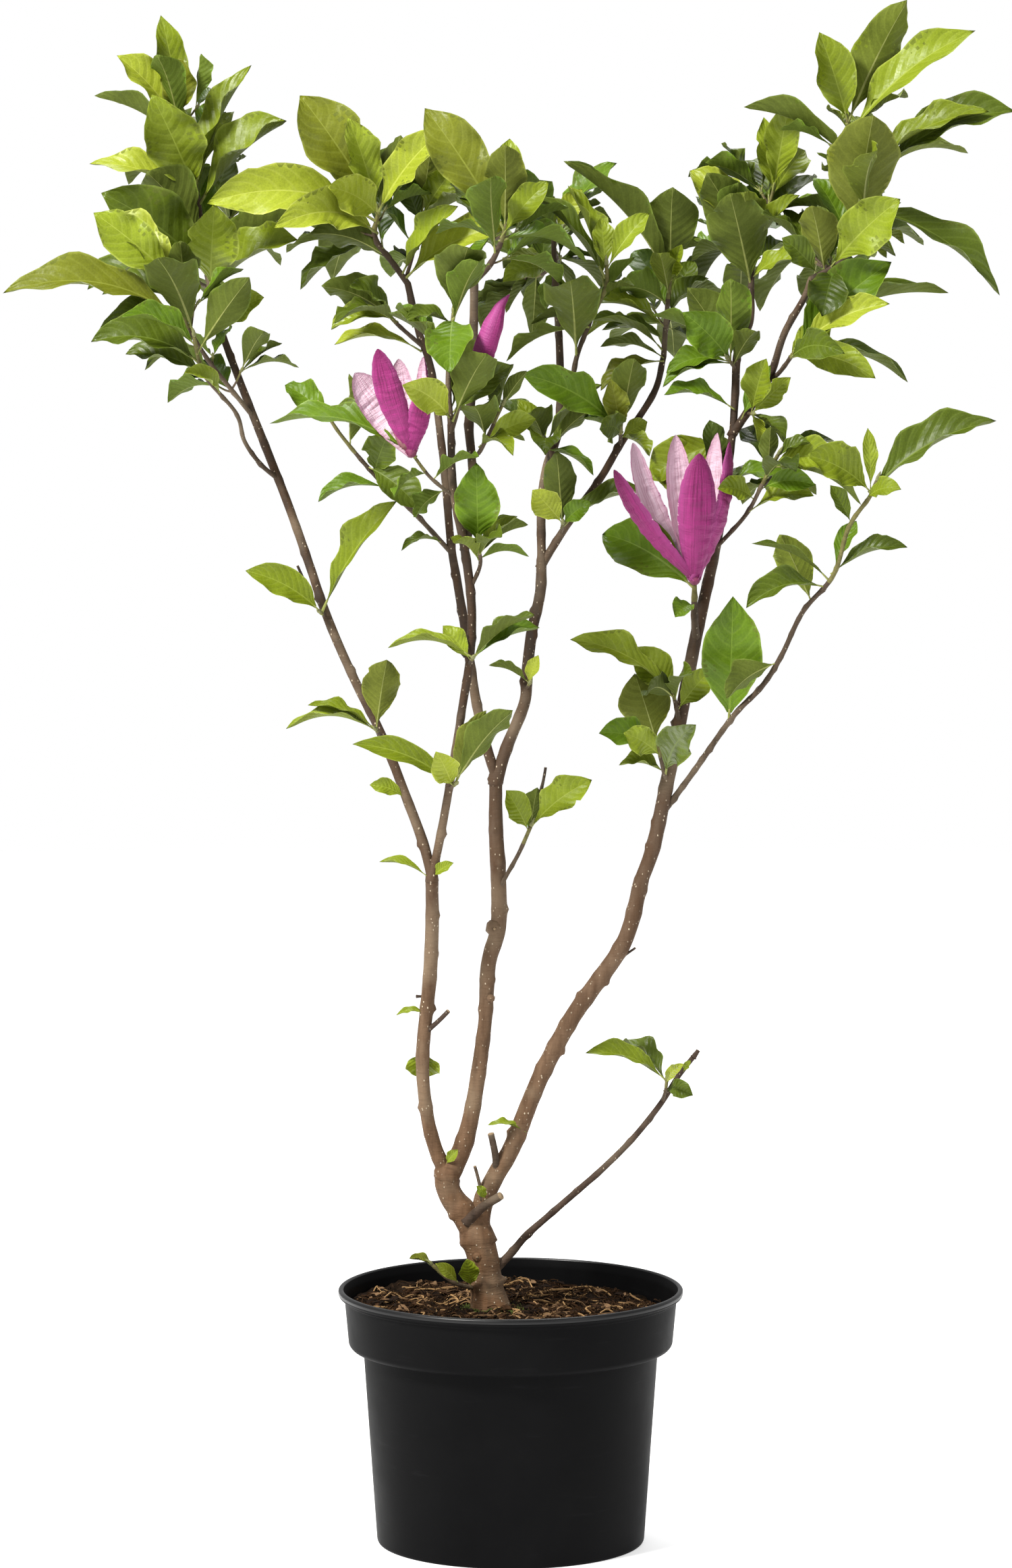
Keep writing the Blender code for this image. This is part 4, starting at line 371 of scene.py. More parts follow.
         (0.14, (5.2, -4.5, 5.5), 5, 0.46), (0.44, (1.2, -4, 9.4), 175, 0.56),
         (0.1, (-1.2, -3, 5.3), 165, 0.5), (0.05, (-2.9, -2, 3), 20, 0.5),
         (0.18, (-1.2, -3, -3.9), 10, 0.66), (0.32, (4, 1, -0.5), 70, 0.38)),
        (0.26, 0.17), "mmloomdmfflfm", 2, 7.5, 35,
        (Shoot(0.6, (-1.3, 0.5, 7.4), ((0.98, (-2.3, -1, 7), 10, 0.46),
         (0.94, (4.6, -1, 9.8), 165, 0.36), (0.82, (9.8, -1, 8.4), 45, 0.28),
         (0.32, (10.2, 1, 5.7), 60, 0.24), (0.5, (-8.8, 2, 4.5), 100, 0.28)), 0),
         Shoot(0.35, (0.5, 7, 1.5), (), 5), Shoot(0.15, (-2, 6.5, 1.5), (), 4))),
    "right": Mass(
        ((20.6, 2, 94.1), (21.6, 1, 95), (22.9, -1, 97)),
        ((1, (7.6, -2.4, 6.8), 20, 0.42), (0.55, (3.6, -1.2, 2.9), 20, 0.56),
         (0.9, (7.4, -2, 3.8), 35, 0.3), (0.95, (12.2, 0, 4.7), 80, 0.18),
         (0.65, (4, -3, 0.8), 20, 0.5), (0.8, (6.5, -3, -1.8), 10, 0.36),
         (0.72, (9.6, 1, -1.9), 75, 0.2)),
        (0.2, 0.15), "glymmlm", 1, 7, 36, ()),
    "right_fork": Mass(
        ((19, 2.6, 91.6), (19.4, 1.3, 91.6)),
        ((1, (3, -1, 2.9), 0, 0.44), (0.8, (1.1, -2.4, 4.5), 20, 0.48),
         (0.6, (0.6, -2.2, -2), 60, 0.6), (0.4, (2.8, -2.4, -2.2), 60, 0.4)),
        (0.16, 0.13), "lfym", 0, 6, 37, ()),
    "right_mid": Mass(
        ((16.5, 1.5, 80.8), (18.8, 0, 83.5), (19.9, -1.5, 85.7), (20.6, -2, 87.2),
         (21.3, -2.5, 88.5)),
        ((0.55, (-3, -3, 1.1), 25, 0.46), (0.65, (4.3, -2, 0.6), 20, 0.4),
         (0.82, (0.2, -0.6, 3.8), 170, 0.4), (1, (2.6, -1, 1.3), 50, 0.44),
         (0.92, (5.2, -1.2, -0.3), 30, 0.54), (0.97, (4.3, 1.2, 0.9), 90, 0.3),
         (0.88, (7.3, -3, -2.6), 100, 0.3)),
        (0.18, 0.15), "fgmmlfm", 1, 6.5, 38,
        (Shoot(0.7, (2, 5.5, 2), (), 3),)),
    "right_front": Mass(
        ((12.5, -1, 60), (14.7, -2.5, 63.2), (17.7, -5, 67.8), (19.9, -6.5, 70.3), (21.4, -8, 72.9),
         (23, -9.5, 76.5), (25.3, -11.3, 79.5), (26.4, -12.5, 83.3), (28, -13.5, 85.8),
         (28.5, -13.8, 87)),
        ((0.28, (0.2, -2, 10.2), 0, 0.47), (0.48, (-4.2, -1.6, -2.6), 150, 0.5),
         (0.66, (-2.6, -1.6, 5.4), 170, 0.46), (0.71, (-6.2, -2, -1.2), 50, 0.36),
         (0.73, (-6.2, 0, 3), 90, 0.18), (0.76, (1.8, -0.8, 3.8), 30, 0.36),
         (0.75, (5.8, -1, 2.2), 60, 0.28), (0.88, (-1.7, -0.5, 3.1), 20, 0.4),
         (0.97, (-5, -2, 3), 25, 0.56), (1, (-0.2, -0.5, 5), 10, 0.24),
         (0.98, (9.7, -1, 5.6), 50, 0.3), (0.95, (2.4, -3, 1), 40)),
        (0.25, 0.22, 0.19, 0.16), "gmlmmgmmflmf", 0, 6.5, 39, ()),
    "right_tuft": Mass(
        ((13.6, -0.2, 66.8), (13, -1.8, 69.4)),
        ((1, (-8.1, -1.5, 4.7), 50, 0.3), (0.9, (-3, -0.5, 3.9), 10, 0.62),
         (0.8, (-2.7, -3, 1), 160, 0.58), (0.7, (1, -3, 3), 120, 0.46),
         (0.4, (2.7, -2, 3.6), 10, 0.46)),
        (0.2, 0.15), "lfdmf", 0, 6, 40, ()),
    "right_lower": Mass(
        ((12.6, -1, 62), (12.2, -2.2, 63.4), (11.8, -2.9, 65.2)),
        ((1, (-1.9, -1.5, 5.8), 178, 0.66), (0.85, (-4.8, -1.5, 1.8), 40, 0.5),
         (0.75, (-3, -3, 2.2), 10, 0.5), (0.25, (2, -3.6, 5), 20, 0.46),
         (0.35, (-3.6, -0.6, 0.8), 60, 0.4), (0.1, (-4.8, -1, -2.4), 20, 0.46)),
        (0.2, 0.15), "oglmff", 0, 6, 41, ()),
    "right_behind": Mass(
        ((17, 1.9, 84), (16.6, 3.2, 85.6)),
        ((1, (-5.4, 1, 2), 10, 0.7), (0.8, (-2, 4, 4), 60)),
        (0.17, 0.13), "fm", 2, 7.5, 42, ()),
    "low": Mass(
        ((12.3, 0.6, 36), (12.5, -0.7, 37), (12.6, -0.9, 37.9)),
        ((1, (-6.5, -1, 2.6), 60, 0.3), (0.9, (-3.4, 0.5, 3.2), 60, 0.48),
         (0.8, (1.2, -1.4, 2.2), 30, 0.34), (0.5, (2.2, -1.6, -0.1), 20, 0.56)),
        (0.15, 0.13), "fmym", 0, 5, 43, ()),
    "base_sprout": Mass(
        ((-2.4, -1.8, 21), (-4.6, -3.2, 21.8), (-6.3, -3.6, 23.3)),
        ((1, (-2, -0.5, 0.7), 60, 0.4), (0.45, (-1.7, -1.6, 2.1), 20, 0.34),
         (0.2, (-0.3, -1.8, 2.6), 0, 0.56)),
        (0.2, 0.16), "oyl", 0, 4, 44, ()),
}
TONE_NAMES = {"y": "young", "l": "light", "f": "fresh", "o": "olive", "g": "green",
              "m": "mature", "d": "deep"}

# Blooms: a twig that ends in tepals. A bud is a closed spindle on its twig.
BLOOMS = {
    "bloom_right": Bloom(
        ((14.9, 0, 73.6), (14.7, -1.3, 75.8), (14.7, -1.8, 78.5)), (0.42, 0.34, 0.22),
        (Petal((-6.6, -1.4, 9), 1.9, 0.5, -35), Petal((-5, 2, 11), 2.2, 0.6, 18),
         Petal((-1.5, 2.8, 11.6), 2.3, 0.7, 10), Petal((0.3, -2.6, 10.4), 3.1, 0.8, 0),
         Petal((1.9, 2.2, 11.8), 2.3, 0.7, 10), Petal((2.8, -0.4, 11.2), 2.5, 0.6, -12)),
        ((0.85, (-7.4, 1.5, 4.2), 10, 0.46), (0.6, (-1.6, -2.4, -0.8), 40, 0.6))),
    "bloom_left": Bloom(
        ((-4.4, -10.9, 85.6), (-6.3, -11.9, 87.2), (-7.8, -12.3, 89.2)), (0.18, 0.16),
        (Petal((-4.5, 0.6, 6.3), 3, 0.5, 60), Petal((-2.6, -2.2, 8.3), 2.3, 0.6, -30),
         Petal((-1, 1.8, 7.4), 2, 0.6, 15), Petal((1, 0.8, 7.6), 2, 0.6, 0),
         Petal((1.3, -2, 5.6), 1.9, 0.6, -25)),
        ((0.9, (-11.4, 2, 2.8), 60, 0.26), (0.45, (3.6, -2.6, 2), 110, 0.46),
         (0.6, (-2.6, -3.4, -1.6), 100, 0.44), (0.2, (-2.6, -2, -2), 150, 0.5))),
}
BUD_TWIG = ((-4.7, -11.5, 90.6), (-3.9, -12.8, 93.2), (-2.7, -13, 95.4))
BUD_TWIG_RADII = (0.2, 0.17)
BUD_REACH = (2.3, -0.8, 6.3)
BUD_RADIUS = 0.0095

# Leaves that sit on the limbs themselves: root, reach, turn, width and tone
LIMB_LEAVES = (
    ((-8.4, -4.7, 61.2), (-2.8, -0.6, 1.2), 30, 0.46, "l"),
    ((-6.7, -5.2, 55.0), (-3.7, -0.5, 1.4), 60, 0.24, "l"),
    ((-6.2, -5.3, 55.0), (1.6, -0.6, 1.2), 30, 0.46, "l"),
    ((-6.9, -1.4, 41.0), (-0.1, 0.8, -2.9), 10, 0.95, "l"),
    ((-22.9, 4.4, 98.7), (3.0, -1.6, 2.2), 30, 0.72, "l"),
    ((-6.6, -2.2, 43.4), (-2.6, -0.6, 0.2), 60, 0.26, "l"),
    ((1.1, -1.9, 33.9), (-2.9, -0.8, 0.8), 70, 0.26, "l"),
    ((-2.0, -2.0, 28.4), (-0.7, -0.9, 1.2), 20, 0.50, "l"),
    ((-5.2, -1.6, 31.2), (0.9, -0.8, 1.3), 20, 0.50, "l"),
    ((14.0, 0.8, 38.4), (0.5, -0.8, 1.0), 20, 0.40, "l"),
    ((-7.3, 4.2, 96.5), (-6.9, -1.0, 0.6), 60, 0.27, "y"),
    ((6.2, 4.3, 98.4), (-6.6, -2.4, -2.6), 110, 0.30, "m"),
    ((17.9, 2.6, 91.9), (-5.6, -1.0, 1.2), 60, 0.34, "g"),
    ((18.6, 2.4, 91.2), (2.2, -1.5, 4.3), 20, 0.36, "g"),
    ((17.5, 2.8, 89.2), (-6.4, 1.0, -3.1), 20, 0.50, "f"),
    ((17.3, 1.6, 86.0), (5.2, -2.0, 0.3), 60, 0.42, "g"),
    ((19.2, -0.4, 83.9), (5.0, -1.2, 1.3), 50, 0.40, "l"),
    ((12.3, 6.6, 95.6), (-5.1, -1.5, -2.0), 60, 0.40, "o"),
    ((12.3, 6.8, 95.9), (-5.0, 0.5, 1.0), 120, 0.34, "m"),
    ((-4.5, -12.5, 91.7), (2.6, -3.5, 5.5), 165, 0.54, "m"),
)
# Dead twigs, and knots with their place and size
DEAD_TWIGS = (
    Stub((8.6, -3.0, 47.9), (10.0, -3.2, 49.0), 0.10),
    Stub((-3.6, -9.0, 72.9), (-5.7, -9.2, 74.7), 0.10),
    Stub((-16.1, 0.0, 76.9), (-17.1, -0.3, 79.5), 0.12),
    Stub((-2.3, -1.6, 28.2), (-2.9, -2.0, 31.1), 0.15),
    Stub((2.4, -1.7, 61.4), (2.8, -1.7, 63.4), 0.13),
    Stub((14.8, 1.0, 39.5), (15.2, 1.0, 40.1), 0.19),
    Stub((-7.6, -1.9, 44.9), (-6.2, -2.2, 44.9), 0.10),
)
KNOTS = (((-1.3, -0.2, 50.2), 0.62), ((-2.7, -2.68, 23.8), 0.36), ((-1.6, -0.9, 44.6), 0.30))


# Pieces of the scene

def link_object(name, data):
    """A new object in the scene that holds a mesh, a light or a camera."""
    item = bpy.data.objects.new(name, data)
    bpy.context.scene.collection.objects.link(item)
    return item


class Batch:
    """Faces that are joined into one piece, each with the name of its material."""

    def __init__(self, name):
        self.name = name
        self.verts = []
        self.faces = []
        self.kinds = []
        self.flat = []

    def add(self, verts, faces, kinds, flat=None):
        start = len(self.verts)
        self.verts.extend(tuple(v) for v in verts)
        self.faces.extend(tuple(start + i for i in face) for face in faces)
        self.kinds.extend(kinds if isinstance(kinds, list) else [kinds] * len(faces))
        self.flat.extend(flat if flat else [(0.0, 0.0)] * len(verts))

    def build(self, slot, nodes, sharp=None):
        mesh = bpy.data.meshes.new(self.name)
        mesh.from_pydata(self.verts, [], self.faces)
        used = sorted(set(self.kinds))
        for kind in used:
            mesh.materials.append(MATERIALS[kind])
        places = {kind: i for i, kind in enumerate(used)}
        mesh.polygons.foreach_set("material_index", [places[kind] for kind in self.kinds])
        corners = np.empty(len(mesh.loops), dtype=np.int32)
        mesh.loops.foreach_get("vertex_index", corners)
        flat = mesh.uv_layers.new(name="blade")
        flat.data.foreach_set("uv", np.array(self.flat, dtype=np.float32)[corners].ravel())
        mesh.shade_smooth()
        if sharp is not None:
            mesh.set_sharp_from_angle(angle=math.radians(sharp))
        piece = link_object(self.name, mesh)
        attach(piece, "root")
        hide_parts(*nodes)


# Curves and tubes

def metres(points):
    return [Vector(p) * CM for p in points]


def circle(sides):
    """The cosine and the sine of evenly spaced angles."""
    angles = [2 * math.pi * k / sides for k in range(sides)]
    return [(math.cos(angle), math.sin(angle)) for angle in angles]


def square(vector, axis):
    """The part of a vector that stands square to an axis, as a unit."""
    return (vector - axis * vector.dot(axis)).normalized()


def smooth_path(points, spacing):
    """Points about one spacing apart on a Catmull-Rom curve through the given points."""
    ends = [points[0] * 2 - points[1]] + list(points) + [points[-1] * 2 - points[-2]]
    dense = [points[0]]
    for i in range(1, len(ends) - 2):
        a, b, c, d = ends[i - 1:i + 3]
        for step in range(1, 9):
            t = step / 8
            dense.append(0.5 * (2 * b + (c - a) * t + (2 * a - 5 * b + 4 * c - d) * t ** 2
                                + (3 * b - a - 3 * c + d) * t ** 3))
    lengths = [0.0]
    for p, q in zip(dense, dense[1:]):
        lengths.append(lengths[-1] + (q - p).length)
    count = max(2, round(lengths[-1] / spacing) + 1)
    path = []
    k = 0
    for i in range(count):
        goal = lengths[-1] * i / (count - 1)
        while k < len(dense) - 2 and lengths[k + 1] < goal:
            k += 1
        span = max(lengths[k + 1] - lengths[k], 1e-9)
        path.append(dense[k].lerp(dense[k + 1], (goal - lengths[k]) / span))
    return path


def point_on(path, station):
    """A place on a path, from a station between 0 and 1, short of the very end."""
    place = min(station, 0.97) * (len(path) - 1)
    k = min(int(place), len(path) - 2)
    return path[k].lerp(path[k + 1], place - k)


def end_heading(path):
    return (path[-1] - path[-2]).normalized()


def cross_axes(path):
    """The direction of a path from end to end, and two units square to it."""
    axis = (path[-1] - path[0]).normalized()
    side = axis.orthogonal().normalized()
    return axis, side, axis.cross(side)


def radius_at(radii, share):
    """Read a radius from evenly spaced values, in centimetres, as metres."""
    place = min(max(share, 0.0), 1.0) * (len(radii) - 1)
    k = min(int(place), len(radii) - 2)
    return (radii[k] + (radii[k + 1] - radii[k]) * (place - k)) * CM


def read_curve(curve, share):
    """Read a value from a table of (share, value) rows."""
    for (a, low), (b, high) in zip(curve, curve[1:]):
        if share <= b:
            t = max(0.0, (share - a) / (b - a))
            t = t * t * (3 - 2 * t) * 0.5 + t * 0.5
            return low + (high - low) * t
    return curve[-1][1]


def tangents(path):
    return [(path[min(i + 1, len(path) - 1)] - path[max(i - 1, 0)]).normalized()
            for i in range(len(path))]


def tube_rings(path, radius_of, sides):
    """Rings of points round a path. radius_of takes the ring's number and the angle."""
    along = tangents(path)
    side = along[0].orthogonal().normalized()
    verts = []
    for i, (centre, axis) in enumerate(zip(path, along)):
        side = square(side, axis)
        across = axis.cross(side)
        for k in range(sides):
            angle = 2 * math.pi * k / sides
            out = side * math.cos(angle) + across * math.sin(angle)
            verts.append(centre + out * radius_of(i, angle))
    return verts


def ring_faces(spans, sides):
    faces = []
    for i in range(spans):
        for k in range(sides):
            a = i * sides + k
            b = i * sides + (k + 1) % sides
            faces.append((a, b, b + sides, a + sides))
    return faces


def tube_shape(path, radii, sides, extra=0.0):
    """Vertices and faces of a closed tapering tube with flat ends."""
    last = len(path) - 1
    verts = tube_rings(path, lambda i, _: radius_at(radii, i / last) + extra, sides)
    faces = [tuple(range(sides))]
    faces += ring_faces(last, sides)
    faces.append(tuple(last * sides + k for k in range(sides)))
    return verts, faces


def add_tube(batch, path, radius_of, sides, kind, cap=None, dome=0.0):
    """A tube whose far end is a dome, a point or, with a cap material, a cut face."""
    verts = tube_rings(path, radius_of, sides)
    last = len(path) - 1
    faces = ring_faces(last, sides)
    kinds = [kind if isinstance(kind, str) else kind(i // sides) for i in range(len(faces))]
    centre = len(verts)
    verts.append(path[-1] + tangents(path)[-1] * dome)
    verts.append(path[0])
    for k in range(sides):
        j = (k + 1) % sides
        faces.append((last * sides + k, last * sides + j, centre))
        faces.append((j, k, centre + 1))
        kinds += [cap or kinds[-1], kinds[0]]
    batch.add(verts, faces, kinds)


def add_spindle(batch, path, thick, widths, sides, kind, dome=0.0):
    """A short tube with one width for each point of its path."""
    add_tube(batch, path, lambda i, _: thick * widths[i], sides, kind, dome=dome)


# What is already there, for the test of each new leaf

Obstacle = namedtuple("Obstacle", "tree low high owner")
obstacles = []


def bounds_of(verts):
    low = Vector((min(v[k] for v in verts) for k in range(3)))
    high = Vector((max(v[k] for v in verts) for k in range(3)))
    return low, high


def add_obstacle(verts, faces, owner):
    low, high = bounds_of(verts)
    obstacles.append(Obstacle(BVHTree.FromPolygons(verts, faces), low, high, owner))


def touches(verts, faces, ignore=()):
    """True where a shape meets anything that stands already."""
    low, high = bounds_of(verts)
    tree = None
    for item in obstacles:
        if item.owner in ignore:
            continue
        if any(low[k] > item.high[k] or high[k] < item.low[k] for k in range(3)):
            continue
        if tree is None:
            tree = BVHTree.FromPolygons(verts, faces)
        if tree.overlap(item.tree):
            return True
    return False


# The plain blades of the solids: they decide where a leaf has room

def bowed(root, reach, arch, share):
    """A place on the midline of a blade, which stands off by its arch at the middle."""
    return root + reach * share + arch * (4 * share * (1 - share))


def blade_shape(root, reach, normal, half_width, arch, lift, profile, thickness, root_half,
                extra=0.0, start=0):
    along = reach.normalized()
    normal = square(normal, along)
    across = along.cross(normal)
    verts = []
    for share, width in profile[start:]:
        centre = bowed(root, reach, arch, share)
        half = root_half if width is None else half_width * width
        half = max(half, root_half) + extra
        edge = normal * (lift * half + extra)
        verts.append(centre - across * half + edge)
        verts.append(centre + across * half + edge)
        verts.append(centre - normal * (thickness + extra))
    verts.append(root + reach)
    spans = len(profile) - start - 1
    faces = [(0, 1, 2)] + ring_faces(spans, 3)
    last = spans * 3
    for a, b in ((0, 1), (1, 2), (2, 0)):
        faces.append((last + a, last + b, len(verts) - 1))
    return verts, faces


def leaf_arch(reach, normal):
    along = reach.normalized()
    level = 1.0 - abs(along.z)
    return (normal * LEAF_BULGE + (UP - along * along.z) * (LEAF_SAG * level)) * reach.length


def leaf_shape(root, reach, normal, width_ratio, profile, extra=0.0, start=0):
    length = reach.length
    thickness = max(LEAF_MIN_THICKNESS, LEAF_THICKNESS_RATIO * length)
    return blade_shape(root, reach, normal, length * width_ratio / 2, leaf_arch(reach, normal),
                       LEAF_LIFT, profile, thickness, PETIOLE_HALF, extra, start)


def facing(reach, turn):
    """The normal of a leaf's upper side. Turn 0 faces the front and 90 faces up."""
    along = reach.normalized()
    front = FRONT - along * FRONT.dot(along)
    if front.length < 0.2:
        front = UP - along * UP.dot(along)
    front.normalize()
    rise = along.cross(front)
    if rise.z < 0.0:
        rise.negate()
    angle = math.radians(turn)
    return front * math.cos(angle) + rise * math.sin(angle)


def find_room(root, reach, normal, width_ratio, owner, profile, nudges):
    """The reach, nudged in depth to a free place, or None where there is none."""
    for nudge in nudges:
        moved = reach + Vector((0.0, nudge, 0.0))
        blade = leaf_shape(root, moved, normal, width_ratio, profile, CLEARANCE, start=1)
        whole = leaf_shape(root, moved, normal, width_ratio, profile, CLEARANCE)
        if touches(*blade) or touches(*whole, ignore=(owner, owner + ":twig")):
            continue
        add_obstacle(*leaf_shape(root, moved, normal, width_ratio, profile), owner)
        return moved
    return None


# Leaves as they are seen

Leaf = namedtuple("Leaf", "root reach normal ratio tone rows sideways")


def leaf_wave(rng, sideways):
    """The chance features of one leaf: ripples of its margin, fold, twist and curl."""
    return {"ripple": [(rng.uniform(1.8, 3.4), rng.uniform(*PHASES), rng.uniform(0.14, 0.34))
                       for _ in range(2)],
            "scallop": [(rng.uniform(2.6, 4.4), rng.uniform(*PHASES), rng.uniform(0.015, 0.045))
                        for _ in range(2)],
            "bite": [(rng.uniform(0.3, 0.9), rng.choice((0, 0, 0, 0, 0.30, 0.50)))
                     for _ in range(2)],
            "fold": rng.uniform(0.18, 0.52) + 0.38 * sideways,
            "twist": rng.uniform(-0.75, 0.75),
            "curl": rng.uniform(-0.020, 0.070), "slide": rng.uniform(0.84, 1.16)}


def twisted(reach, arch, share, normal, turn):
    """The sideways and upward units of a bowed and twisted blade at one station."""
    across = reach.normalized().cross(normal)
    heading = (reach + arch * (4 - 8 * share)).normalized()
    side = square(across * math.cos(turn) + normal * math.sin(turn), heading)
    return side, side.cross(heading)


def cell_faces(a, wide, under):
    """The upper and the lower face of one cell of a blade."""
    upper = (a, a + 1, a + 1 + wide, a + wide)
    return [upper, tuple(under + i for i in reversed(upper))]


def leaf_margin(wave, share, u, half):
    """How far out and how high a point of the blade lies, from its chance features."""
    edge = 0 if u < 0 else 1
    waves, phase, height = wave["ripple"][edge]
    lobes, lobe_phase, lobe_size = wave["scallop"][edge]
    bite_at, bite = wave["bite"][edge]
    out = half * (1 + lobe_size * math.sin(FULL_WAVE * lobes * share + lobe_phase) * abs(u)
                  - bite * math.exp(-((share - bite_at) / 0.035) ** 2) * max(0.0, abs(u) - 0.5))
    lift = half * (wave["fold"] * abs(u) ** 1.3
                   + height * abs(u) ** 2.4 * math.sin(FULL_WAVE * waves * share + phase))
    return u * out, lift


def add_leaf(batch, leaf, rng):
    """One leaf: a curved blade with two faces, a raised midrib below and a round stalk."""
    root, reach = leaf.root, leaf.reach
    length = reach.length
    along = reach.normalized()
    normal = square(leaf.normal, along)
    arch = leaf_arch(reach, leaf.normal)
    wave = leaf_wave(rng, leaf.sideways)
    curl = wave["curl"] * length
    rib_half = min(0.0011, 0.010 * length)
    verts = []
    flat = []
    lower = []
    for r in range(leaf.rows):
        share = STALK_END - 0.02 + (1.02 - STALK_END) * (r / leaf.rows)
        centre = bowed(root, reach, arch, share) - normal * (curl * share ** 3)
        side, rise = twisted(reach, arch, share, normal, wave["twist"] * (share - 0.5))
        half = length * leaf.ratio / 2 * read_curve(LEAF_OUTLINE, share ** wave["slide"])
        for u in LEAF_COLUMNS:
            out, lift = leaf_margin(wave, share, u, half)
            under = 0.00045
            if abs(u) < 0.2:
                out = math.copysign(min(rib_half * (1.1 - share), half * 0.5), u)
                under = min(0.0014, 0.3 * half + 0.0004)
            point = centre + side * out + rise * lift
            verts.append(point)
            flat.append((0.5 + u / 2, share))
            lower.append(point - rise * (0.0 if abs(u) == 1.0 else under))
    wide = len(LEAF_COLUMNS)
    start = len(verts)
    verts += lower
    flat += flat[:start]
    verts.append(root + reach - normal * curl)
    flat.append((0.5, 1.0))
    faces = []
    kinds = []
    for r in range(leaf.rows):
        for k in range(wide - 1):
            a = r * wide + k
            if r < leaf.rows - 1:
                faces += cell_faces(a, wide, start)
            else:
                faces.append((a, a + 1, 2 * start))
                faces.append((start + a + 1, start + a, 2 * start))
            # The lower face takes the underside material, whose darker colour paints shade.
            kinds += ["rib_" + leaf.tone, "stalk"] if k == RIB_COLUMN else \
                ["leaf_" + leaf.tone, "under_" + leaf.tone]
    batch.add(verts, faces, kinds, flat)
    foot = root - along * 0.0012
    stalk = [foot.lerp(bowed(root, reach, arch, share), min(1, i / 2))
             for i, share in enumerate((0.0, 0.035, 0.075, STALK_END + 0.01))]
    add_spindle(batch, stalk, min(0.0013, 0.0125 * length), (1.5, 1.0, 0.85, 0.7), 5, "stalk")


# Growth of one mass

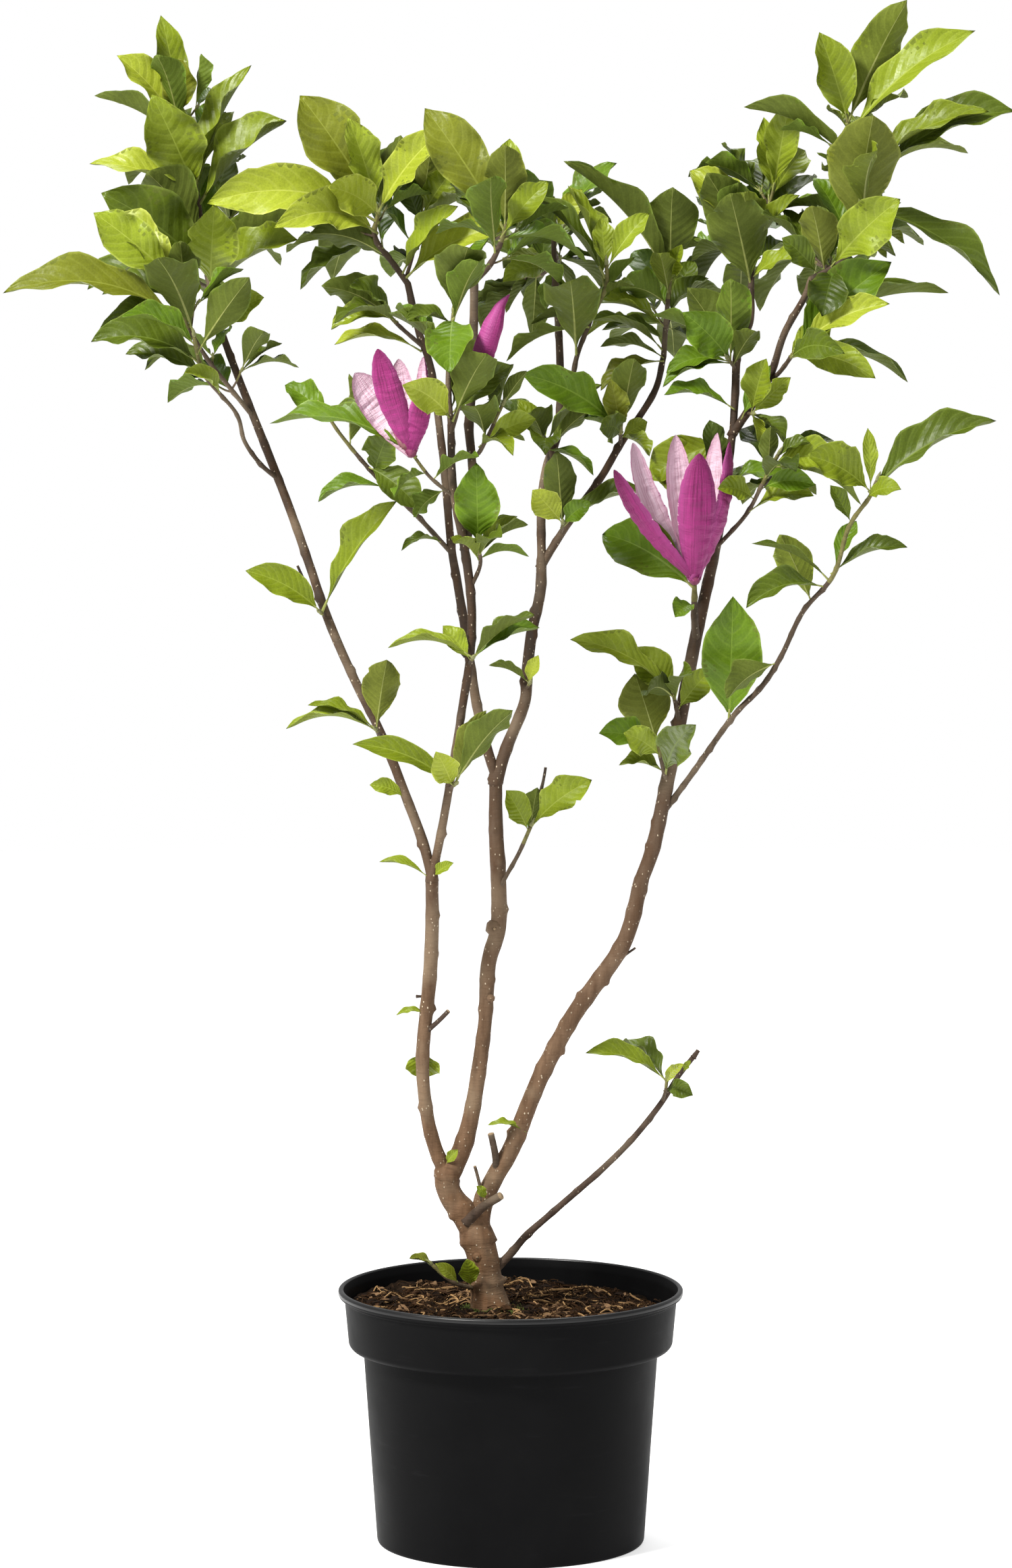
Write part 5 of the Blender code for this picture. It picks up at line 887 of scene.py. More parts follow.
class Growth:
    """A mass while it grows: its stem, its shoots, its side twigs and its leaves."""

    def __init__(self, name, mass):
        self.name = name
        self.mass = mass
        self.random = random.Random(mass.seed)
        self.finer = random.Random(mass.seed + 1000)
        self.twigs = []
        self.leaves = []
        self.waiting = []
        self.tones = iter(mass.tones)
        self.shoot_paths = []

    def grow_stem(self):
        self.stem = smooth_path(metres(self.mass.stem), RING_SPACING * 0.7)
        add_obstacle(*tube_shape(self.stem, self.mass.radii, STEM_SIDES), self.name + ":twig")

    def grow_shoots(self):
        for shoot in self.mass.shoots:
            root = point_on(self.stem, shoot.station)
            reach = Vector(shoot.reach) * CM
            middle = root + reach * 0.5 + UP * (-0.06 * reach.length)
            points = [root, middle, root + reach]
            path = smooth_path(points, RING_SPACING)
            thin = (self.mass.radii[-1] * 0.95, 0.13)
            shape = tube_shape(path, thin, TWIG_SIDES, extra=CLEARANCE)
            if touches(*shape, ignore=(self.name + ":twig",)):
                self.shoot_paths.append(None)
                continue
            add_obstacle(*tube_shape(path, thin, TWIG_SIDES), self.name + ":twig")
            self.twigs.append((points, thin))
            self.shoot_paths.append(path)

    def free_shoots(self):
        """The shoots that found room, each with its path."""
        return [(path, shoot) for path, shoot in zip(self.shoot_paths, self.mass.shoots) if path]

    def grow_leads(self):
        self.lead_row(self.stem, self.mass.leads)
        for path, shoot in self.free_shoots():
            self.lead_row(path, shoot.leads)

    def lead_row(self, path, rows):
        for lead in (Lead(*row) for row in rows):
            reach = Vector(lead.reach) * CM
            width = lead.width
            if width is None:
                width = LONG_LEAF_RATIO if reach.length > LONG_LEAF else LEAF_WIDTH_RATIO
            plan = (point_on(path, lead.station), reach, facing(reach, lead.turn), width)
            looks = (TONE_NAMES[next(self.tones)], abs(math.sin(math.radians(lead.turn))))
            if not self.add_leaf(*plan, LEAF_PROFILE, NUDGES, *looks):
                self.waiting.append((plan, looks))

    def grow_fill(self):
        self.fill_row(self.stem, self.mass.fill)
        for path, shoot in self.free_shoots():
            self.fill_row(path, shoot.fill)

    def fill_row(self, path, count):
        """Leaves by rule: a golden-angle spiral that closes up towards the tip."""
        axis, side, across = cross_axes(path)
        phase = self.random.uniform(0.0, 2 * math.pi)
        for i in range(count):
            share = (i + 0.6) / count
            station = 0.30 + 0.67 * share ** 0.7
            angle = phase + i * GOLDEN_ANGLE
            radial = side * math.cos(angle) + across * math.sin(angle)
            radial.x *= 0.55
            open_angle = math.radians(self.random.uniform(48, 72) - 26 * share)
            length = self.mass.size * CM * self.random.uniform(0.72, 1.08)
            heading = axis * math.cos(open_angle) + radial.normalized() * math.sin(open_angle)
            heading.z -= 0.10
            reach = heading.normalized() * length
            normal = UP + radial * self.random.uniform(-0.2, 0.5) - axis * 0.4
            root = point_on(path, station)
            self.add_leaf(root, reach, normal.normalized(), LEAF_WIDTH_RATIO, PLAIN_PROFILE,
                          NUDGES, self.tone(root + reach * 0.5, station), 0.4)

    def add_leaf(self, root, reach, normal, width, profile, nudges, tone, sideways):
        moved = find_room(root, reach, normal, width, self.name, profile, nudges)
        if moved is not None:
            rows = LEAD_ROWS if profile is LEAF_PROFILE else FILL_ROWS
            width *= min(1.0, reach.length / moved.length)
            self.leaves.append(Leaf(root, moved, normal, width, tone, rows, sideways))
        return moved is not None

    def tone(self, place, station):
        """Younger, paler leaves at the tips, and painted light and shade: lighter high up, darker
        low and behind.
        """
        youth_and_light = (place.z - 0.90) / 0.34 + 0.4 * (station - 0.6) + self.finer.uniform(-0.5, 0.5)
        # Leaves behind are darkened: painted shade.
        youth_and_light -= max(0.0, place.y) * 4.0
        names = ("deep", "mature", "green", "fresh", "light")
        return names[min(4, max(0, int(1.7 + 2.0 * youth_and_light)))]

    def grow_late(self):
        """A second look at the leaves that had no room, with wider moves in depth."""
        for plan, looks in self.waiting:
            self.add_leaf(*plan, LEAF_PROFILE, WIDE_NUDGES, *looks)

    def grow_side_twigs(self):
        """Finer twigs with two or three small leaves each, within the mass's own reach."""
        stems = [self.stem] if self.mass.fill > 1 else []
        for path in stems + [path for path, _ in self.free_shoots()]:
            axis, side, across = cross_axes(path)
            span = (path[-1] - path[0]).length
            for _ in range(int(span / 0.020)):
                angle = self.finer.uniform(0.0, 2 * math.pi)
                radial = side * math.cos(angle) + across * math.sin(angle)
                radial.y = abs(radial.y)
                root = point_on(path, self.finer.uniform(0.12, 0.95))
                heading = (radial + axis * 0.7 + UP * 0.15).normalized()
                end = root + heading * self.finer.uniform(0.010, 0.024)
                self.side_twig(root, end, heading, radial)

    def side_twig(self, root, end, heading, radial):
        grown = 0
        for _ in range(3):
            spread = Vector([self.finer.uniform(-0.8, 0.8) for _ in range(3)])
            length = self.mass.size * CM * self.finer.uniform(0.45, 0.75)
            reach = (heading + spread).normalized() * length
            normal = (UP + radial * 0.4).normalized()
            grown += self.add_leaf(end, reach, normal, 0.46, PLAIN_PROFILE, NUDGES[:3],
                                   self.tone(end, 0.8), 0.4)
        if grown:
            middle = root.lerp(end, 0.5) - UP * 0.001
            self.twigs.append(([root, middle, end], (0.10, 0.07)))


# Wood with bark relief

OldBud = namedtuple("OldBud", "place ring knob angle")


def carries_on(limb):
    """True where a limb starts at the very end of its host."""
    return limb.host is not None and limb.points[0] == LIMBS[limb.host].points[-1]


def limb_path(limb):
    """The limb's curve. A limb that carries on from its host starts one gap past it."""
    points = metres(limb.points)
    if carries_on(limb):
        host = limb_paths[limb.host]
        points[0] = host[-1] + end_heading(host) * GAP
    return smooth_path(points, RING_SPACING)


def old_buds(length, rng, least, most):
    """Places along a limb where a leaf once stood: a ring scar with a knob on one side."""
    marks = []
    place = rng.uniform(0.01, 0.03)
    while place < length:
        marks.append(OldBud(place, rng.uniform(0.04, 0.13), rng.uniform(0.08, 0.42),
                            rng.uniform(*PHASES)))
        place += rng.uniform(least, most)
    return marks


def add_limb(batch, name, rng):
    """A limb's bark: swellings at old buds, fine ridges, a flare where it leaves its host."""
    limb = LIMBS[name]
    path = smooth_path(metres(limb.points), BARK_SPACING)
    last = len(path) - 1
    marks = old_buds(BARK_SPACING * last, rng, 0.018, 0.042)
    continues = carries_on(limb)
    host_radius = LIMBS[limb.host].radii[-1] * CM if continues else 0.0

    def radius(i, angle):
        place = i * BARK_SPACING
        base = radius_at(limb.radii, i / last)
        if continues:
            base = max(base, host_radius * (1.0 - place / 0.020))
        elif limb.host:
            base *= 1.0 + 0.35 * math.exp(-place / 0.012)
        else:
            lobes = 0.5 + 0.5 * math.sin(3 * angle + 0.6)
            base *= 1.0 + 0.10 * lobes * math.exp(-place / 0.010)
        relief = 0.0
        for mark in marks:
            away = place - mark.place
            if abs(away) < 0.009:
                fade = math.exp(-(away / 0.0024) ** 2)
                side = max(0.0, math.cos(angle - mark.angle)) ** 5
                relief += mark.ring * math.exp(-(away / 0.0040) ** 2) * 0.7
                relief += fade * mark.knob * side
        around = Vector((math.cos(angle) * 2.2, math.sin(angle) * 2.2, place * 45))
        relief += 0.045 * noise.noise(around) + 0.030 * noise.noise(around * 3.1)
        return base * (1.0 + relief)

    kind = "bark_dark" if name == "branch_low" else "bark_pale"
    sides = 30 if limb.radii[0] > 1.0 else 22
    foot = (path[1] - path[0]).normalized() if limb.host else UP
    sunk = host_radius if continues else 0.004
    end_radius = radius_at(limb.radii, 1.0)
    dome = [(math.sin(a) * end_radius, math.cos(a)) for a in (0.4, 0.8, 1.15, 1.4)]
    whole = [path[0] - foot * sunk] + path
    whole += [path[-1] + end_heading(path) * rise for rise, _ in dome]

    def whole_radius(i, angle):
        if i <= last + 1:
            return radius(max(0, i - 1), angle) * (0.9 if i == 0 else 1.0)
        return radius(last, angle) * dome[i - last - 2][1]

    add_tube(batch, whole, whole_radius, sides, kind)


def add_stub(batch, stub, rng):
    """A pruned or dead twig, slightly bent, with a cut face."""
    start, end = metres((stub.start, stub.end))
    bend = Vector([rng.uniform(-1, 1) for _ in range(3)]) * (0.05 * (end - start).length)
    path = smooth_path([start, start.lerp(end, 0.5) + bend, end], 0.0016)
    last = len(path) - 1

    def radius(i, angle):
        flare = 1.0 + 0.45 * math.exp(-i / last / 0.16)
        rough = 0.06 * noise.noise(path[i] * 400 + Vector((angle, 0, 0)))
        return stub.radius * CM * (flare - 0.10 * i / last + rough)

    add_tube(batch, path, radius, 12, "bark_dark", cap="cut_wood", dome=stub.radius * CM * 0.1)


def add_knot(batch, place, size):
    """A round scar with a raised, rough lip."""
    centre = Vector(place) * CM
    path = [centre + FRONT * (size * CM * t) for t in (-0.6, 0.0, 0.35, 0.55, 0.50)]
    widths = (1.15, 1.05, 0.85, 0.55, 0.30)

    def radius(i, angle):
        return size * CM * widths[i] * (1 + 0.16 * noise.noise(Vector((angle * 2, i, size))))

    add_tube(batch, path, radius, 14, "bark_pale", cap="cut_wood", dome=-0.0004)


def add_twig(batch, points, radii, rng, green_from):
    """A leafy twig: ring scars, small knobs and a green tip."""
    path = smooth_path(points, TWIG_SPACING)
    last = len(path) - 1
    marks = old_buds(last * TWIG_SPACING, rng, 0.010, 0.024)

    def radius(i, angle):
        relief = 0.0
        for mark in marks:
            away = (i * TWIG_SPACING - mark.place) / 0.0028
            if abs(away) < 3:
                side = max(0.0, math.cos(angle - mark.angle)) ** 3
                relief += math.exp(-away * away) * (0.10 + 1.2 * mark.knob * side)
        return radius_at(radii, i / last) * (1 + relief)

    def kind(ring):
        return "twig_green" if ring / last > green_from else "bark_twig"

    add_tube(batch, path, radius, 9, kind, dome=radii[-1] * CM)
    return path


def add_bud(batch, foot, heading, length, thick):
    """A resting bud: a furry spindle."""
    path = [foot + heading * (length * share) for share in (0.0, 0.12, 0.35, 0.62, 0.85)]
    add_spindle(batch, path, thick, (0.6, 0.95, 1.0, 0.72, 0.34), 7, "bud", length * 0.15)


# Blooms

def add_petal(batch, root, reach, normal, half_width, cup, rng):
    """One tepal: pink inside and magenta outside, hollow across, with soft ripples."""
    arch = -normal * (0.10 * reach.length)
    normal = square(normal, reach.normalized())
    phase = rng.uniform(*PHASES)
    tilt = rng.uniform(-0.35, 0.35)
    inside = []
    outside = []
    flat = []
    for r in range(PETAL_ROWS + 1):
        share = r / PETAL_ROWS
        centre = bowed(root, reach, arch, share)
        side, rise = twisted(reach, arch, share, normal, tilt * share)
        half = half_width * read_curve(PETAL_OUTLINE, share)
        hollow = cup * (1.1 - 0.5 * share)
        for c in range(PETAL_COLUMNS + 1):
            u = 2 * c / PETAL_COLUMNS - 1
            ripple = 0.05 * half * u * u * math.sin(9 * share + phase + 2 * u)
            crease = 0.02 * half * math.cos(5.5 * u + phase)
            wrinkle = PETAL_WRINKLE * noise.noise(Vector((1.6 * u, 26 * share, phase)))
            point = centre + side * (half * math.sin(u * 1.35) / math.sin(1.35))
            point += rise * (half * hollow * u * u + ripple + crease
                             + wrinkle * math.sin(math.pi * share))
            thin = 0.0009 * (1 - abs(u) ** 3) * (1.1 - share * 0.7)
            inside.append(point)
            outside.append(point - rise * thin)
            flat.append((0.5 + u / 2, share))
    faces = []
    for r in range(PETAL_ROWS):
        for c in range(PETAL_COLUMNS):
            start = r * (PETAL_COLUMNS + 1) + c
            faces += cell_faces(start, PETAL_COLUMNS + 1, len(inside))
    kinds = ["petal_inside", "petal_outside"] * (len(faces) // 2)
    batch.add(inside + outside, faces, kinds, flat + flat)


def petal_normal(reach, turn):
    """The normal of a tepal's inner face. A turn brings that face to the front."""
    outward = Vector((reach.x, reach.y, 0.0))
    normal = (-outward.normalized() + UP * 0.2).normalized()
    angle = math.copysign(1.0, reach.cross(normal).dot(FRONT)) * math.radians(turn)
    return Quaternion(reach.normalized(), angle) @ normal


def add_bloom(blooms, twigs, leaves, name, rng):
    bloom = BLOOMS[name]
    foot = bloom_paths[name][-1]
    add_twig(twigs, metres(bloom.stem), [r * 0.8 for r in bloom.radii], rng, 0.62)
    for petal in bloom.petals:
        reach = Vector(petal.reach) * CM
        root = foot - reach.normalized() * 0.002
        add_petal(blooms, root, reach, petal_normal(reach, petal.turn), petal.width * CM / 2,
                  petal.cup, rng)
    heading = end_heading(bloom_paths[name])
    base = [foot + heading * (0.001 * k - 0.004) for k in range(0, 9, 2)]
    add_spindle(blooms, base, 0.0046, (0.55, 0.95, 1.0, 0.85, 0.6), 12, "petal_foot")
    cone = [foot + heading * (0.004 + 0.004 * k) for k in range(6)]
    knobs = (0.6, 1.0, 1.0, 0.85, 0.6, 0.3)
    add_tube(blooms, cone, lambda i, a: 0.0042 * knobs[i] * (1 + 0.15 * math.sin(8 * a + i * 2)),
             16, "flower_cone", dome=0.001)
    for leaf in bloom_leaves[name]:
        add_leaf(leaves, leaf, rng)


def add_flower_bud(blooms, twigs, rng):
    """A closed flower: three wrapped tepals that turn a little, with a hooked tip."""
    points = metres(BUD_TWIG)
    add_twig(twigs, points, BUD_TWIG_RADII, rng, 0.55)
    reach = Vector(BUD_REACH) * CM
    foot = points[-1] - reach * 0.03
    path = []
    for r in range(BUD_ROWS + 1):
        share = r / BUD_ROWS
        hook = Vector((0.004, 0.0, -0.001)) * max(0.0, share - 0.86) ** 1.2 * 8
        path.append(foot + reach * share + hook)

    def radius(i, angle):
        share = i / BUD_ROWS
        wrap = (angle / math.tau * 3 + share * 0.55 + 0.4) % 1.0
        lip = 0.13 * wrap ** 3 + 0.03 * math.sin(14 * share + 2 * angle)
        return BUD_RADIUS * read_curve(BUD_OUTLINE, share) * (0.93 + lip)

    start = len(blooms.verts)
    add_tube(blooms, path, radius, BUD_SIDES, "petal_outside", dome=0.0015)
    for i in range(BUD_ROWS + 1):
        for k, (cosine, _) in enumerate(circle(BUD_SIDES)):
            blooms.flat[start + i * BUD_SIDES + k] = (0.5 + 0.5 * cosine, i / BUD_ROWS)
    scale = [foot + reach * t for t in (-0.03, 0.04, 0.10)]
    add_tube(blooms, scale, lambda i, _: 0.0042 + 0.0012 * i, 14, "bud")


# Pot and soil

def lathe(batch, profile, sides, kind, lip_kind, lip_height):
    """Turn a profile of (radius, height) round Z. Its ends lie on the axis."""
    verts = [(0.0, 0.0, profile[0][1])]
    for radius, height in profile[1:-1]:
        verts += [(radius * cosine, radius * sine, height) for cosine, sine in circle(sides)]
    verts.append((0.0, 0.0, profile[-1][1]))
    top = 1 + (len(profile) - 3) * sides
    faces = []
    for k in range(sides):
        j = (k + 1) % sides
        faces.append((0, 1 + j, 1 + k))
        for a in range(1, top, sides):
            faces.append((a + k, a + j, a + sides + j, a + sides + k))
        faces.append((top + k, top + j, len(verts) - 1))
    kinds = [lip_kind if min(verts[i][2] for i in face) > lip_height else kind
             for face in faces]
    batch.add(verts, faces, kinds)


def rounded(points, radius, steps=4):
    """Round each inner corner of an open profile."""
    result = [points[0]]
    for before, corner, after in zip(points, points[1:], points[2:]):
        b, c, a = Vector(before), Vector(corner), Vector(after)
        cut = min(radius, (b - c).length * 0.45, (a - c).length * 0.45)
        start = c + (b - c).normalized() * cut
        end = c + (a - c).normalized() * cut
        for k in range(steps + 1):
            t = k / steps
            point = start * (1 - t) ** 2 + c * (2 * t * (1 - t)) + end * t ** 2
            result.append((point.x, point.y))
    result.append(points[-1])
    return result


def add_pot(batch):
    rim = POT_RIM_RADIUS
    wall = POT_WALL
    outside = [(0.0, 0.0015), (0.070, 0.0015), (0.072, 0.0030), (0.096, 0.0030), (0.098, 0.0),
               (POT_BASE_RADIUS - 0.001, 0.0), (POT_BASE_RADIUS, 0.002),
               (0.1197, COLLAR_BOTTOM - 0.001), (0.1290, COLLAR_BOTTOM),
               (0.1315, COLLAR_BOTTOM + 0.003), (0.1348, POT_HEIGHT - 0.0090),
               (0.1362, POT_HEIGHT - 0.0084), (0.1362, POT_HEIGHT - 0.0070),
               (rim - 0.0012, POT_HEIGHT - 0.0062), (rim, POT_HEIGHT - 0.0044),
               (rim, POT_HEIGHT - 0.0014)]
    inside = [(rim - 0.0014, POT_HEIGHT), (rim - 0.0040, POT_HEIGHT),
              (rim - 0.0045 - wall, POT_HEIGHT - 0.007), (0.1318 - wall, COLLAR_BOTTOM + 0.004),
              (0.1193 - wall, COLLAR_BOTTOM + 0.002), (POT_BASE_RADIUS - wall, POT_FLOOR),
              (0.0, POT_FLOOR)]
    lathe(batch, rounded(outside + inside, 0.0016), POT_SIDES, "black_plastic", "pot_lip",
          POT_HEIGHT - LIP_DEPTH)


def from_foot(x, y):
    """How far a place on the soil is from the middle of the trunk's foot."""
    return math.hypot(x - FOOT[0] * CM, y - FOOT[1] * CM)


def soil_height(x, y):
    """A heaped surface, lower at the right, flat under the trunk's foot."""
    heap = -0.030 * x - 0.020 * y + 0.0016 * math.sin(61 * x + 1.0) * math.cos(53 * y)
    blend = min(1.0, max(0.0, (from_foot(x, y) - FOOT_CLEAR_RADIUS) / 0.02))
    return SOIL_LEVEL + (heap - 0.002) * blend


def soil_surface(x, y):
    """The heap with lumps and crumbs."""
    place = Vector((x, y, 0.0))
    lumps = 0.0042 * noise.noise(place * 48) + 0.0026 * noise.noise(place * 130)
    crumbs = 0.0012 * noise.noise(place * 330)
    return soil_height(x, y) + (lumps + crumbs) * min(1.0, from_foot(x, y) / 0.03) + 0.0005


def on_soil(x, y, rise=0.0):
    return Vector((x, y, soil_surface(x, y) + rise))


def add_soil(batch):
    verts = [on_soil(0.0, 0.0)]
    for r in range(1, SOIL_RINGS + 1):
        radius = SOIL_RADIUS * r / SOIL_RINGS
        verts += [on_soil(radius * cosine, radius * sine) for cosine, sine in circle(SOIL_SIDES)]
    faces = []
    for k in range(SOIL_SIDES):
        j = (k + 1) % SOIL_SIDES
        faces.append((0, 1 + k, 1 + j))
        for r in range(SOIL_RINGS - 1):
            a = 1 + r * SOIL_SIDES
            faces.append((a + k, a + SOIL_SIDES + k, a + SOIL_SIDES + j, a + j))
    batch.add(verts, faces, "potting_soil")


def scatter_place(rng):
    """A place by chance on the soil, clear of the trunk and the pot."""
    while True:
        x, y = rng.uniform(-0.13, 0.13), rng.uniform(-0.13, 0.13)
        if math.hypot(x, y) < LITTER_RADIUS and from_foot(x, y) > 0.022:
            return on_soil(x, y)


def add_chip(batch, rng):
    """A flake of bark or wood: a bent slab with uneven corners."""
    centre = scatter_place(rng) + UP * 0.0008
    turn = rng.uniform(*PHASES)
    along = Vector((math.cos(turn), math.sin(turn), rng.uniform(-0.35, 0.45))).normalized()
    side = along.cross(UP + Vector((rng.uniform(-1, 1), rng.uniform(-1, 1), 0)) * 0.5).normalized()
    rise = side.cross(along)
    long = rng.uniform(0.0018, 0.0065)
    wide = long * rng.uniform(0.25, 0.7)
    thick = rng.uniform(0.0004, 0.0012)
    verts = []
    for t, w in ((-1.0, 0.5), (-0.3, 1.0), (0.4, 0.9), (1.0, 0.35)):
        jag = rng.uniform(0.7, 1.2)
        bow = rise * (thick * 1.5 * (1 - t * t))
        for sign, level in ((-1, 0), (1, 0), (1, 1), (-1, 1)):
            verts.append(centre + along * (long * t) + side * (wide * w * jag * sign)
                         + bow + rise * (thick * level))
    faces = [(3, 2, 1, 0)] + ring_faces(3, 4) + [(12, 13, 14, 15)]
    batch.add(verts, faces, rng.choice(("chip_brown", "chip_dark", "chip_dark", "chip_pale")))


def add_fibre(batch, rng, kinds, stretch, thickening):
    """A root or straw: a thin bent thread that lies on the soil."""
    start = scatter_place(rng)
    turn = rng.uniform(*PHASES)
    length = rng.uniform(0.006, 0.026) * stretch
    points = []
    for k in range(5):
        turn += rng.uniform(-0.7, 0.7)
        lift = 0.0008 + 0.0035 * math.sin(math.pi * k / 4) * rng.random()
        place = start + Vector((math.cos(turn), math.sin(turn), 0.0)) * (length * k / 4)
        if math.hypot(place.x, place.y) > 0.128:
            break
        points.append(on_soil(place.x, place.y, lift))
    if len(points) > 2:
        thick = rng.uniform(0.0002, 0.00045) * thickening
        add_tube(batch, smooth_path(points, length / 8), lambda i, _: thick, 4, rng.choice(kinds))


def add_moss(batch, rng):
    """Tiny green tufts round the trunk's foot."""
    for _ in range(MOSS_TUFTS):
        turn = rng.uniform(*PHASES)
        away = 0.0165 + abs(rng.gauss(0, 0.006))
        foot = on_soil(FOOT[0] * CM + away * math.cos(turn), FOOT[1] * CM + away * math.sin(turn),
                       -0.0005)
        lean = Vector((rng.uniform(-0.5, 0.5), rng.uniform(-0.5, 0.5), 1.0)).normalized()
        path = [foot, foot + lean * rng.uniform(0.0010, 0.0026)]
        add_tube(batch, path, lambda i, _: 0.0005, 4, "moss", dome=0.0006)


# Materials

MATERIALS = {}


class Finish:
    """A node material in the making."""

    def __init__(self, name, roughness, gloss):
        MATERIALS[name] = bpy.data.materials.new(name)
        MATERIALS[name].use_nodes = True
        self.tree = MATERIALS[name].node_tree
        self.shader = self.tree.nodes["Principled BSDF"].inputs
        self.shader["Roughness"].default_value = roughness
        self.shader["Specular IOR Level"].default_value = gloss
        self.place = self.tree.nodes.new("ShaderNodeTexCoord").outputs

    def feed(self, value, socket):
        """Set a socket to a number, a scale or a colour, or link a node's output to it."""
        if isinstance(value, (int, float)):
            socket.default_value = value
        elif isinstance(value, tuple):
            socket.default_value = (*value, 1.0)[:len(socket.default_value)]
        else:
            self.tree.links.new(value, socket)

    def add(self, kind, output, **inputs):
        """A node of a kind, with its named inputs fed."""
        node = self.tree.nodes.new("ShaderNode" + kind)
        for name, value in inputs.items():
            self.feed(value, node.inputs[name])
        return node.outputs[output]

    def stretched(self, scale, source=None):
        return self.add("Mapping", "Vector", Scale=scale, Vector=source or self.place["Object"])

    def noise(self, scale, detail=3.0, vector=None, roughness=0.55):
        return self.add("TexNoise", "Fac", Scale=scale, Detail=detail, Roughness=roughness,
                        Vector=vector or self.place["Object"])

    def spots(self, scale, vector):
        return self.add("TexVoronoi", "Distance", Scale=scale, Vector=vector)

    def part(self, vector, axis):
        return self.add("SeparateXYZ", axis, Vector=vector)

    def ramp(self, factor, *stops):
        node = self.tree.nodes.new("ShaderNodeValToRGB")
        band = node.color_ramp
        while len(band.elements) < len(stops):
            band.elements.new(0.5)
        for element, (place, colour) in zip(band.elements, stops):
            element.position = place
            element.color = (*colour, 1.0)
        self.feed(factor, node.inputs["Fac"])
        return node.outputs["Color"]

    def level(self, factor, low, high, first=0.0, last=1.0):
        """A grey ramp between two places."""
        return self.ramp(factor, (low, (first,) * 3), (high, (last,) * 3))

    def mix(self, factor, first, second):
        node = self.tree.nodes.new("ShaderNodeMix")
        node.data_type = "RGBA"
        self.feed(factor, node.inputs[0])
        self.feed(first, node.inputs[6])
        self.feed(second, node.inputs[7])
        return node.outputs[2]

    def math(self, operation, first, second=0.0):
        node = self.tree.nodes.new("ShaderNodeMath")
        node.operation = operation
        self.feed(first, node.inputs[0])
        self.feed(second, node.inputs[1])
        return node.outputs[0]

    def total(self, *parts):
        """A sum of node outputs, each times its weight."""
        terms = [self.math("MULTIPLY", source, weight) for source, weight in parts]
        result = terms[0]
        for term in terms[1:]:
            result = self.math("ADD", result, term)
        return result

    def off_middle(self):
        """How far a place is from the midline of a blade, up to a half."""
        across = self.part(self.place["UV"], "X")
        return self.math("ABSOLUTE", self.math("SUBTRACT", across, 0.5))

    def colour(self, value):
        self.feed(value, self.shader["Base Color"])

    def rough(self, value):
        self.feed(value, self.shader["Roughness"])

    def bump(self, height, strength, distance):
        normal = self.add("Bump", "Normal", Height=height, Strength=strength, Distance=distance)
        self.feed(normal, self.shader["Normal"])


def scaled(colour, factor):
    return tuple(min(1.0, c * factor) for c in colour)


def blended(first, second, share):
    return tuple(a + (b - a) * share for a, b in zip(first, second))


def leaf_finish(name, colour, vein, roughness, cushion, gloss):
    """A leaf's face: blotches, fine cells, paler side veins and raised cushions between."""
    finish = Finish(name, roughness, gloss)
    base = finish.ramp(finish.noise(28.0), (0.30, scaled(colour, 0.80)), (0.55, colour),
                       (0.78, blended(scaled(colour, 1.18), vein, 0.25)))
    margin = finish.off_middle()
    bend = finish.math("MULTIPLY", finish.math("POWER", margin, 1.25), 0.52)
    along = finish.part(finish.place["UV"], "Y")
    row = finish.math("MULTIPLY", finish.math("SUBTRACT", along, bend), 10.0)
    saw = finish.math("PINGPONG", row, 0.5)
    veins = finish.level(saw, 0.0, 0.16, 1.0, 0.0)
    base = finish.mix(finish.math("MULTIPLY", veins, 0.30), base, vein)
    cells = finish.ramp(finish.noise(700.0, 2.0), (0.35, scaled(colour, 0.6)),
                        (0.65, scaled(colour, 1.3)))
    base = finish.mix(0.25, base, cells)
    # A pale band along the margin: a painted highlight on the leaf's edge.
    finish.colour(finish.mix(finish.level(margin, 0.455, 0.5, 0.0, 0.7), base,
                             scaled(vein, 1.15)))
    finish.rough(finish.level(finish.noise(60.0, 2.0), 0.3, 0.7, roughness - 0.07,
                              roughness + 0.10))
    finish.bump(finish.total((saw, cushion), (finish.noise(75.0), 1.2)), 0.50, 0.0018)


def plain_finish(name, colour, roughness, scale, spread, bump, gloss=0.2):
    """A natural surface with mottled colour and grain."""
    finish = Finish(name, roughness, gloss)
    grain = finish.noise(scale, 4.0)
    finish.colour(finish.ramp(grain, (0.28, scaled(colour, 1.0 - spread)), (0.55, colour),
                              (0.80, scaled(colour, 1.0 + spread))))
    finish.bump(finish.noise(scale * 3), bump, 0.0006)


